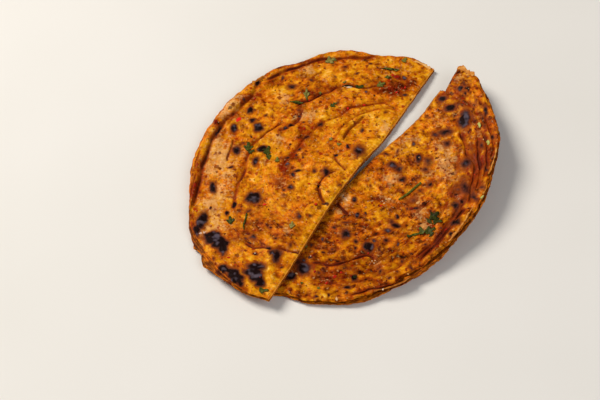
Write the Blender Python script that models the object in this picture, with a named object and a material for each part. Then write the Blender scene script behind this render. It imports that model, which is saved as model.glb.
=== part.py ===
"""Laccha paratha: a round, layered flatbread, cut across once, its two halves still lying together.

Each half is one closed solid. Its rim is two plies of dough, one showing beyond the other, and inside the
rim its upper side steps up, turn by turn, along the coil that the dough was rolled from.
The halves are turned a few degrees against each other, so that a narrow V opens at the far end of the
cut, and the near end of the left half lies on the corner of the right half. The right half curls up
towards +X. Origin: on the table, under the middle of the pair. +Z up, metres.
"""

import math
from dataclasses import dataclass

import bmesh
import bpy

MM = 0.001
FLAT = 1e-7

# Driving dimensions, in millimetres and degrees. A share counts from the middle of the cut out to the rim.
LOWER_PLY = 1.9
RIM_THICKNESS = 3.4
CENTRE_THICKNESS = 4.4
EDGE_ROUND = 0.7
ROUND_SHARE = 0.007  # the width over which an edge is rounded
PLY_PEEK = 0.019  # how far the lower ply shows beyond the upper one
FOOT, LIP, CROWN, SLOPE = -0.4, 0.5, 0.6, 0.2  # heights across one turn of the coil, from its edge inwards
STEP_SHARE = 0.011
CREASE_WAVER = 0.013  # creases stray this far from a smooth curve
SWELLING = 0.35  # soft bubbles under the crust
SWELLING_LENGTH = 15.0

CURL_RISE = 18.0  # of the right half's edge above the table
CURL_START_X = 13.0
CURL_END_X = 98.0
RIM_LIFT = 2.2  # of both rims above the table, half way round
RIM_LIFT_START = 0.72

LIFT_RISE = 5.4  # of the left half where it lies on the right one
LIFT_RUN = 48.0  # the distance over which it comes down to the table
LIFT_FADE = 36.0  # the same, along the cut past the place where the cuts cross
CLEAR = 3.0  # the full lift reaches this far past the cuts' crossing

BOW_REACH = 25.0  # how far in from the cut its hollow is felt
NICK_REACH = 5.0

COLUMNS = 48
SHARP_ANGLE = 35


@dataclass
class Half:
    """One half. hub is the middle of its cut, and side says on which side of the cut the bread lies.

    bulges are those of its outline: how many degrees round from the cut, how wide in degrees, how far out.
    cut_bow is the hollow of its cut: how far along the cut, how wide, how deep.
    nick is where a ply ends short at the cut: how far along it starts, how long, how deep.
    creases are those of the coil: the share at which each lies at the far end of the cut, half way round
    and at the near end.
    """

    name: str
    disc_centre: tuple
    disc_radius: float
    hub: tuple
    cut_angle: float
    side: int
    bulges: tuple
    cut_bow: tuple
    nick: tuple
    creases: tuple
    colour: tuple


LEFT = Half(
    name="half_left",
    disc_centre=(11, -11),
    disc_radius=110,
    hub=(7.8, -6.5),
    cut_angle=59.1,
    side=1,
    bulges=(
        (1, 3, -0.8),
        (11, 6, 2.6),
        (21, 5, -1.2),
        (36, 10, 2.8),
        (54, 4, -1.3),
        (62, 6, 1.0),
        (97, 9, -1.3),
        (141, 9, 3.2),
        (160, 10, 2.5),
        (180, 5, -4.5),
    ),
    cut_bow=(-25, 45, 3.0),
    nick=(0, 1, 0),
    creases=(
        (0.94, 0.915, 0.94),
        (0.72, 0.70, 0.67),
        (0.585, 0.46, 0.47),
        (0.43, 0.29, 0.37),
        (0.08, 0.14, 0.25),
    ),
    colour=(0.72, 0.30, 0.045),
)
RIGHT = Half(
    name="half_right",
    disc_centre=(-21, 19.5),
    disc_radius=117.5,
    hub=(6.3, -4.9),
    cut_angle=49.8,
    side=-1,
    bulges=(
        (0, 3, -2.8),
        (9, 3, 1.8),
        (38, 5, 1.2),
        (56, 6, -1.0),
        (89, 12, -2.0),
        (140, 9, 2.4),
        (168, 7, -4.5),
    ),
    cut_bow=(62, 28, 3.0),
    nick=(87.5, 21, 3.8),
    creases=(
        (0.90, 0.935, 0.94),
        (0.79, 0.87, 0.89),
        (0.60, 0.71, 0.76),
        (0.42, 0.53, 0.57),
        (0.22, 0.30, 0.34),
    ),
    colour=(0.62, 0.24, 0.04),
)


def smooth(x):
    """0 below 0, 1 above 1, and an S curve between."""
    x = min(max(x, 0.0), 1.0)
    return x * x * (3 - 2 * x)


def bell(x, middle, width):
    """1 at the middle, falling off to both sides."""
    return math.exp(-(((x - middle) / width) ** 2))


def rim_distance(half, theta):
    """From the hub to the rim, at the angle theta round from the cut: a circle, bulged by hand rolling."""
    phi = math.radians(half.cut_angle) + half.side * theta
    dx, dy = half.hub[0] - half.disc_centre[0], half.hub[1] - half.disc_centre[1]
    along = dx * math.cos(phi) + dy * math.sin(phi)
    to_circle = -along + math.sqrt(along**2 - dx**2 - dy**2 + half.disc_radius**2)
    round_by = math.degrees(theta)
    return to_circle + sum(out * bell(round_by, middle, width) for middle, width, out in half.bulges)


def bow(half, along):
    """How far the cut stands back from the straight line between its ends."""
    middle, width, depth = half.cut_bow
    return depth * bell(along, middle, width)


def from_cut(half, x, y):
    """(along, off): the place along the half's cut, and the distance from it on the bread's side."""
    angle = math.radians(half.cut_angle)
    dx, dy = x - half.hub[0], y - half.hub[1]
    along = dx * math.cos(angle) + dy * math.sin(angle)
    off = half.side * (dy * math.cos(angle) - dx * math.sin(angle))
    return along, off - bow(half, along)


def by_cut(half, along, off):
    """The plan position at this place along the half's straight cut and this distance from it."""
    angle = math.radians(half.cut_angle)
    x = half.hub[0] + along * math.cos(angle) - half.side * off * math.sin(angle)
    y = half.hub[1] + along * math.sin(angle) + half.side * off * math.cos(angle)
    return x, y


def nicked(half, along):
    """How far the cut stands back where a ply ends short: deepest at once, then less and less."""
    start, length, depth = half.nick
    return depth * max(1 - (along - start) / length, 0) if along > start else 0.0


def place(half, theta, share):
    """Plan position of a point, at the angle theta round from the cut and this share of the way out."""
    out = share * rim_distance(half, theta)
    along, off = out * math.cos(theta), out * math.sin(theta)
    back = bow(half, along) * math.exp(-off / BOW_REACH) + nicked(half, along) * math.exp(-off / NICK_REACH)
    return by_cut(half, along, off + back)


def crossing():
    """How far along the left cut the right cut crosses it."""
    along = 0.0
    while from_cut(RIGHT, *by_cut(LEFT, along, bow(LEFT, along)))[1] < 0:
        along -= 0.5
    return along


CROSSING = crossing()


def floor_left(x, y):
    """Height of the left half's underside: flat on the table, and raised where it lies on the right half."""
    along, _ = from_cut(LEFT, x, y)
    _, inside_right = from_cut(RIGHT, x, y)
    across = smooth(1 + (inside_right + CLEAR / 2) / LIFT_RUN)
    return LIFT_RISE * across * smooth(1 - (along - CROSSING - CLEAR) / LIFT_FADE)


def floor_right(x, _y):
    """Height of the right half's underside: flat, and curled up towards +X."""
    share = max(x - CURL_START_X, 0) / (CURL_END_X - CURL_START_X)
    return CURL_RISE * share**2


def rim_lift(theta, share):
    return RIM_LIFT * math.sin(theta) * smooth((share - RIM_LIFT_START) / (1 - RIM_LIFT_START)) ** 2


def swelling(x, y):
    return SWELLING * math.sin(x / SWELLING_LENGTH + 1.3 * math.sin(y / 21)) * math.cos(y / SWELLING_LENGTH)


def crease_share(crease, theta):
    """The share at which a crease lies at the angle theta, on a wavering curve through its three shares."""
    far, middle, near = crease
    t = theta / math.pi
    curve = far * (1 - t) * (1 - 2 * t) + 4 * middle * t * (1 - t) + near * t * (2 * t - 1)
    return curve + CREASE_WAVER * math.sin(theta) * math.sin(5 * theta + 20 * middle)


def section(half, theta):
    """(share, top, bottom) from the rim to the hub, with both heights counted from the underside."""
    peek = PLY_PEEK * (1 + 0.6 * math.cos(3 * theta + half.side))
    rows = [
        (1.0, LOWER_PLY - EDGE_ROUND / 2, EDGE_ROUND),
        (1.0 - ROUND_SHARE, LOWER_PLY, EDGE_ROUND / 5),
        (1.0 - peek, LOWER_PLY, 0),
        (1.0 - peek - ROUND_SHARE, RIM_THICKNESS - EDGE_ROUND / 2, 0),
        (1.0 - peek - 2 * ROUND_SHARE, RIM_THICKNESS, 0),
    ]
    shares = [crease_share(crease, theta) for crease in half.creases]
    for lip, foot in zip(shares, shares[1:] + [0.0]):
        level = CENTRE_THICKNESS + (RIM_THICKNESS - CENTRE_THICKNESS) * lip
        rows.append((lip + STEP_SHARE, level + FOOT, 0))
        rows.append((lip, level + LIP, 0))
        rows.append((lip - STEP_SHARE, level + CROWN, 0))
        rows.append(((lip + foot) / 2, level + SLOPE, 0))
    rows.append((0.0, CENTRE_THICKNESS, 0))
    return rows


def crust(name, colour):
    material = bpy.data.materials.new(name)
    material.use_nodes = True
    shader = material.node_tree.nodes["Principled BSDF"]
    shader.inputs["Base Color"].default_value = (*colour, 1)
    shader.inputs["Roughness"].default_value = 0.5
    return material


def half_bread(half, floor):
    """A grid of rows and columns, pulled out to the half disc, its upper side extruded from its lower."""
    rows = len(section(half, 0.0))
    bm = bmesh.new()
    bmesh.ops.create_grid(bm, x_segments=COLUMNS, y_segments=rows - 1, size=0.5)

    def by_place(verts):
        return {(round((v.co.x + 0.5) * COLUMNS), round((v.co.y + 0.5) * (rows - 1))): v for v in verts}

    lower = by_place(bm.verts)
    extruded = bmesh.ops.extrude_face_region(bm, geom=bm.faces[:], use_keep_orig=True)["geom"]
    upper = by_place(v for v in extruded if isinstance(v, bmesh.types.BMVert))

    for i in range(COLUMNS + 1):
        theta = math.pi * i / COLUMNS
        for j, (share, top, bottom) in enumerate(section(half, theta)):
            x, y = place(half, theta, share)
            base = floor(x, y) + rim_lift(theta, share)
            lower[i, j].co = (x * MM, y * MM, (base + bottom) * MM)
            upper[i, j].co = (x * MM, y * MM, (base + top + swelling(x, y) * smooth(10 * (1 - share))) * MM)

    bmesh.ops.remove_doubles(bm, verts=bm.verts[:], dist=1e-6)
    bmesh.ops.recalc_face_normals(bm, faces=bm.faces[:])
    on_table = [v for v in bm.verts if v.co.z < FLAT]
    edges = [e for e in bm.edges if all(v.co.z < FLAT for v in e.verts)]
    bmesh.ops.dissolve_limit(bm, angle_limit=math.radians(0.5), verts=on_table, edges=edges)

    mesh = bpy.data.meshes.new(half.name)
    bm.to_mesh(mesh)
    bm.free()
    mesh.shade_smooth()
    mesh.set_sharp_from_angle(angle=math.radians(SHARP_ANGLE))
    mesh.materials.append(crust(half.name.replace("half", "crust"), half.colour))
    piece = bpy.data.objects.new(half.name, mesh)
    bpy.context.collection.objects.link(piece)
    return piece


def centre_over_origin(pieces):
    """Moves the pair so that the middle of its plan lies over the origin."""
    corners = [v.co for piece in pieces for v in piece.data.vertices]
    for axis in (0, 1):
        values = [co[axis] for co in corners]
        middle = (min(values) + max(values)) / 2
        for piece in pieces:
            piece.location[axis] = -middle


def main():
    for obj in list(bpy.data.objects):
        bpy.data.objects.remove(obj)
    centre_over_origin([half_bread(LEFT, floor_left), half_bread(RIGHT, floor_right)])


main()
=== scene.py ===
"""Looks of the laccha paratha: two halves of a round, layered flatbread, baked on a griddle with spiced oil.

Each half of the bread is one closed crust, shaped over its solid. On it lie coriander, chilli, pepper
and crumbs, and thin torn flakes of its plies. Distances are in millimetres until a mesh is finished.
"""

import math

import bpy
import numpy as np
from mathutils import Matrix, Vector


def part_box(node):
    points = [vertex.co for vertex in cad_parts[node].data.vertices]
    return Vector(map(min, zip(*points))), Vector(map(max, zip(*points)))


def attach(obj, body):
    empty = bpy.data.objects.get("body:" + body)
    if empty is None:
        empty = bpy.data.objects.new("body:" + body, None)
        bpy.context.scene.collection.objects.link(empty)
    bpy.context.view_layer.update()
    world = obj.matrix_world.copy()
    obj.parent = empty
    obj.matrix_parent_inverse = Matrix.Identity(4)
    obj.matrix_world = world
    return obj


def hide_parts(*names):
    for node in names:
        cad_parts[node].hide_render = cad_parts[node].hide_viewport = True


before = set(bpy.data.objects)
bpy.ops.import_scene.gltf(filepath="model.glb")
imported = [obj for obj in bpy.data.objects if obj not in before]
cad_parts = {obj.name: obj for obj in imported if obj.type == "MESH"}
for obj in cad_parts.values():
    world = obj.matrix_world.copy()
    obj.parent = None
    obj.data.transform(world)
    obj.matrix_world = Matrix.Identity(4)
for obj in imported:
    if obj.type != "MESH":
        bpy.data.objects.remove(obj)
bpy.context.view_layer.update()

MM = 0.001
BODY = "root"

# ---------------------------------------------------------------- the outline, as the solids have it

LEFT = dict(
    name="half_left", centre=(11, -11), radius=110, hub=(7.8, -6.5), angle=59.1, side=1,
    bulges=((1, 3, -0.8), (11, 6, 2.6), (21, 5, -1.2), (36, 10, 2.8), (54, 4, -1.3), (62, 6, 1.0),
            (97, 9, -1.3), (141, 9, 3.2), (160, 10, 2.5), (180, 5, -4.5)),
    bow=(-25, 45, 3.0), nick=(0, 1, 0),
    coil=((0.94, 0.915, 0.94), (0.72, 0.70, 0.67), (0.585, 0.46, 0.47), (0.43, 0.29, 0.37),
          (0.08, 0.14, 0.25)),
)
RIGHT = dict(
    name="half_right", centre=(-21, 19.5), radius=117.5, hub=(6.3, -4.9), angle=49.8, side=-1,
    bulges=((0, 3, -2.8), (9, 3, 1.8), (38, 5, 1.2), (56, 6, -1.0), (89, 12, -2.0), (140, 9, 2.4),
            (168, 7, -4.5)),
    bow=(62, 28, 3.0), nick=(87.5, 21, 3.8),
    coil=((0.90, 0.935, 0.94), (0.79, 0.87, 0.89), (0.60, 0.71, 0.76), (0.42, 0.53, 0.57),
          (0.22, 0.30, 0.34)),
)
RIM_THICKNESS, CENTRE_THICKNESS = 3.4, 4.4
CURL_RISE, CURL_START, CURL_END = 18.0, 13.0, 98.0
RIM_LIFT, RIM_LIFT_START = 2.2, 0.72
LIFT_RISE, LIFT_RUN, LIFT_FADE, CLEAR = 5.4, 48.0, 36.0, 3.0
BOW_REACH, NICK_REACH = 25.0, 5.0
COIL_WAVER = 0.013


def smooth(x):
    """0 below 0, 1 above 1, and an S curve between."""
    x = np.clip(x, 0.0, 1.0)
    return x * x * (3 - 2 * x)


def bell(x, middle, width):
    return np.exp(-(((x - middle) / width) ** 2))


def noise(x, y, size, seed):
    """Soft random heights from -1 to 1, changing over about this many millimetres."""
    total = 0.0
    for turn in (0.4, 1.5):  # two lattices, turned against each other, so that neither shows
        lattice = np.random.default_rng((seed, int(turn * 10))).uniform(-1, 1, (256, 256))
        gx = (x * math.cos(turn) - y * math.sin(turn)) / size + 500.37
        gy = (x * math.sin(turn) + y * math.cos(turn)) / size + 500.71
        i, j = np.floor(gx).astype(int), np.floor(gy).astype(int)
        fx, fy = smooth(gx - i), smooth(gy - j)
        a, b = lattice[i % 256, j % 256], lattice[(i + 1) % 256, j % 256]
        c, d = lattice[i % 256, (j + 1) % 256], lattice[(i + 1) % 256, (j + 1) % 256]
        total = total + (a * (1 - fx) + b * fx) * (1 - fy) + (c * (1 - fx) + d * fx) * fy
    return total * 0.72


def rim_distance(half, theta):
    """From the middle of the cut to the rim, at the angle theta round from the cut."""
    phi = math.radians(half["angle"]) + half["side"] * theta
    dx, dy = half["hub"][0] - half["centre"][0], half["hub"][1] - half["centre"][1]
    along = dx * np.cos(phi) + dy * np.sin(phi)
    out = -along + np.sqrt(along**2 - dx**2 - dy**2 + half["radius"] ** 2)
    degrees = np.degrees(theta)
    return out + sum(height * bell(degrees, middle, width) for middle, width, height in half["bulges"])


def bow(half, along):
    middle, width, depth = half["bow"]
    return depth * bell(along, middle, width)


def nicked(half, along):
    start, length, depth = half["nick"]
    return np.where(along > start, depth * np.clip(1 - (along - start) / length, 0, 1), 0.0)


def by_cut(half, along, off):
    a = math.radians(half["angle"])
    x = half["hub"][0] + along * math.cos(a) - half["side"] * off * math.sin(a)
    y = half["hub"][1] + along * math.sin(a) + half["side"] * off * math.cos(a)
    return x + shift[0], y + shift[1]


def from_cut(half, x, y):
    """(along, off): the place along a half's cut, and how far from it on the bread's side."""
    a = math.radians(half["angle"])
    dx, dy = x - shift[0] - half["hub"][0], y - shift[1] - half["hub"][1]
    along = dx * math.cos(a) + dy * math.sin(a)
    off = half["side"] * (dy * math.cos(a) - dx * math.sin(a))
    return along, off - bow(half, along)


def place(half, theta, share):
    """Plan position at the angle theta round from the cut and this share of the way out to the rim."""
    out = share * rim_distance(half, theta)
    along, off = out * np.cos(theta), out * np.sin(theta)
    back = bow(half, along) * np.exp(-off / BOW_REACH) + nicked(half, along) * np.exp(-off / NICK_REACH)
    return by_cut(half, along, off + back)


shift = (0.0, 0.0)
rim_x, rim_y = place(LEFT, np.linspace(0, math.pi, 721), 1.0)
left_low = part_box("half_left")[0] / MM
shift = (left_low.x - rim_x.min(), left_low.y - rim_y.min())


def crossing():
    """How far along the left cut the right cut crosses it."""
    along = 0.0
    while from_cut(RIGHT, *by_cut(LEFT, along, bow(LEFT, along)))[1] < 0:
        along -= 0.5
    return along


CROSSING = crossing()


def floor_height(half, x, y):
    """Height of a half's underside: the left one rises over the right one, which curls up towards +X."""
    if half is RIGHT:
        return CURL_RISE * (np.maximum(x - shift[0] - CURL_START, 0) / (CURL_END - CURL_START)) ** 2
    along, _ = from_cut(LEFT, x, y)
    _, inside_right = from_cut(RIGHT, x, y)
    across = smooth(1 + (inside_right + CLEAR / 2) / LIFT_RUN)
    return LIFT_RISE * across * smooth(1 - (along - CROSSING - CLEAR) / LIFT_FADE)


def polar(half, x, y):
    """(theta, share) of a plan position."""
    along, off = from_cut(half, x, y)
    theta = np.arctan2(np.maximum(off, 0), along)
    return theta, np.hypot(along, off) / rim_distance(half, theta)


def coil_turn(half, theta, share):
    """How many turns of the coil a point lies in from the rim, counted along the coil's own creases."""
    t = theta / math.pi
    shares = [np.ones_like(t)]
    for far, middle, near in half["coil"]:
        curve = far * (1 - t) * (1 - 2 * t) + 4 * middle * t * (1 - t) + near * t * (2 * t - 1)
        shares.append(curve + COIL_WAVER * np.sin(theta) * np.sin(5 * theta + 20 * middle))
    shares.append(np.zeros_like(t))
    return sum(np.clip((o - share) / np.maximum(o - i, 0.02), 0, 1) for o, i in zip(shares, shares[1:]))


# ---------------------------------------------------------------- folds, blisters and spots

# A fold is a line in the crust: (points, lip, groove, width, dark). The side on the left of its
# direction stands up by the lip, and the line itself is pressed in by the groove. Dark sets how far
# the crease is darkened, by oil and browning and also by painted shade, and how strong the painted
# shade beside it is; the lip's side gets a painted highlight.
FOLDS = {
    "half_left": (
        # the turn at the rim
        (((-97, -36), (-96, -30), (-94, -20), (-92.5, -12), (-91.5, 0), (-89, 8), (-87, 18), (-84, 25),
          (-80, 32), (-77, 38), (-72, 43), (-69, 48), (-65, 53), (-61, 58), (-58, 65), (-56, 70)),
         0.35, 0.75, 1.6, 0.68),
        (((-98, -20), (-97, -10), (-95.5, 0), (-94, 8), (-92, 14)), 0.3, 0.3, 0.9, 0.5),
        (((-98.5, -34), (-97.8, -26), (-96.8, -16), (-94.5, -4)), 0.3, 0.3, 0.8, 0.6),
        (((-57, 71), (-50, 73), (-44, 77), (-40, 80), (-30, 83.5), (-25, 86.5), (-17, 90), (-8, 91.5),
          (5, 92.5), (17, 93), (25, 95.5)), 0.4, 0.8, 1.2, 0.95),
        # second turn
        (((-71.5, 23), (-73, 17), (-75, 10), (-76, 4)), -0.35, 0.4, 0.9, 0.75),
        (((-34, 39), (-43, 34), (-47, 31), (-53, 25), (-58, 20), (-60, 17), (-62.5, 8), (-64, 0),
          (-66, -8), (-69, -16), (-70, -28), (-69, -38)), 0.5, 0.6, 1.1, 0.8),
        (((30, 69), (14, 66), (4, 67.5), (-4, 66.7), (-8, 63), (-13, 61), (-17, 59), (-22, 56), (-27, 54),
          (-34, 49)), 0.7, 0.9, 1.4, 1.15),
        # third turn
        (((37, 51), (27, 53), (15, 51), (5, 48), (-3, 42), (-9, 39), (-15, 35), (-20, 29.5), (-25, 24),
          (-29, 17), (-33, 11), (-37, 6), (-40, -1), (-42, -8)), 0.7, 0.6, 1.2, 0.55),
        (((39, 44), (36, 47), (29, 48.5), (20, 46.5), (12, 43), (4, 38), (-2, 31), (-6, 23), (-8, 15)),
         0.6, 0.4, 1.1, 0.45),
        # fourth turn
        (((16, 42), (13, 40.5), (9, 36), (5, 31.5), (2, 27), (0, 23.5), (-1, 19)), -0.6, 0.4, 1.1, 0.4),
        (((-27, 50), (-28, 44), (-30, 38), (-34, 34), (-39, 31), (-45, 28)), 0.5, 0.5, 1.4, 0.9),
        # the crack and the tongue at the middle
        (((-7, 9), (-6, 5.5), (-5, 2), (-3, -1.5), (-1, -4), (0.5, -6.5)), -0.4, 0.8, 0.9, 0.9),
        (((-4, -5), (-8, -7), (-12.5, -10), (-15, -12.5), (-17, -17.5), (-16.7, -22), (-16.2, -27),
          (-14.2, -31), (-11.7, -33.5)), 0.8, 0.9, 0.9, 1.1),
        (((-17, -29), (-20, -30), (-24, -31.7), (-26, -35), (-27, -39), (-27, -44)), 0.35, 0.3, 0.7, 0.4),
        # the lower turn
        (((-64, -57), (-61, -60), (-56, -63.5), (-50, -64), (-47, -65.5), (-44, -65), (-40, -65),
          (-36, -67), (-30, -68), (-26, -68)), -0.5, 0.7, 0.9, 1.1),
        (((-45.5, -67), (-47.5, -72), (-49, -78), (-47.5, -84), (-44.5, -89)), 0.9, 0.2, 1.2, 0.0),
        (((-95, -52), (-90, -61), (-84, -70), (-76, -80), (-69, -87), (-62, -92), (-56, -95)),
         0.3, 0.4, 1.1, 0.75),
    ),
    "half_right": (
        # the torn ply at the far end
        (((65, 60), (67.5, 58), (70, 54.5), (72, 52), (76, 46), (81, 41), (85, 35), (88, 28)),
         -0.5, 0.4, 0.8, 0.45),
        # creases on the curled side
        (((74, 26), (74.5, 21), (76.4, 12), (77.3, 2.7), (81, -6.4), (80, -15), (78, -22), (76.7, -30),
          (73, -38)), -0.6, 0.9, 2.2, 0.8),
        (((84, 20), (85, 10), (83.6, 3.6), (84, -10), (82.7, -19), (80, -28)), -0.7, 0.9, 2.0, 0.85),
        (((87, 22), (88.6, 13.6), (89, 3.6), (88, -10), (85, -20)), -0.6, 0.8, 1.8, 0.85),
        (((91, 36), (91.5, 26), (93, 14), (93, 4), (91.5, -6)), -0.6, 0.5, 1.3, 0.6),
        # the plies that part at the near side
        (((76, -27), (70, -36), (66, -42), (61, -49.5), (55, -57), (48, -64), (40, -71)),
         1.1, 1.0, 1.9, 1.0),
        (((74, -36), (69, -43), (64, -50), (58, -57.5), (50, -66), (42, -74)), 0.8, 1.2, 1.6, 1.15),
        (((48, -73), (43, -78), (38.3, -81.7), (33.3, -85), (27.5, -88), (20, -89.6), (13.3, -90.8),
          (6.7, -93.3), (-1.7, -96)), 0.9, 1.0, 1.4, 1.3),
        # inner turns
        (((-24, -71), (-19, -71.7), (-15, -71.7), (-12.5, -73.3), (-8, -73.7), (-3.3, -72), (0, -70.8),
          (4, -68.3), (9, -66.7), (14, -66.5), (17.5, -70)), -0.9, 1.0, 1.3, 1.4),
        (((15, -73), (17.5, -71.7), (23, -67.5), (28.3, -64), (31.7, -61), (36, -58), (41, -52)),
         -0.9, 0.5, 1.0, 0.4),
        (((-6, -27), (-4.5, -29.5), (-3, -31.5), (-1, -34), (2, -37)), 0.5, 0.8, 0.9, 1.3),
        (((-30, -83), (-20, -84), (-10, -86.5), (0, -86), (10, -84), (20, -81), (28, -77), (36, -71),
          (43, -64), (49, -57)), -0.6, 0.5, 1.4, 0.4),
        (((42, 24), (43, 18), (40, 12), (36, 7), (33, 0)), 0.35, 0.3, 0.8, 0.2),
        (((60, -8), (57, -20), (52, -29), (44, -37), (34, -45), (22, -51), (10, -53)),
         0.5, 0.4, 1.2, 0.3),
        (((73, 20), (72, 8), (71, -4), (68, -16), (62, -28)), 0.6, 0.5, 1.3, 0.4),
        (((70, 60), (74, 56), (78, 49), (82, 43), (84, 36)), -0.6, 0.5, 1.2, 0.5),
        (((80, 66), (84, 58), (87, 48), (89, 38)), -0.5, 0.4, 1.0, 0.4),
        (((68, -18), (63, -30), (58, -40), (53, -48), (47, -55)), 0.6, 0.5, 1.4, 0.45),
    ),
}

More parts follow.
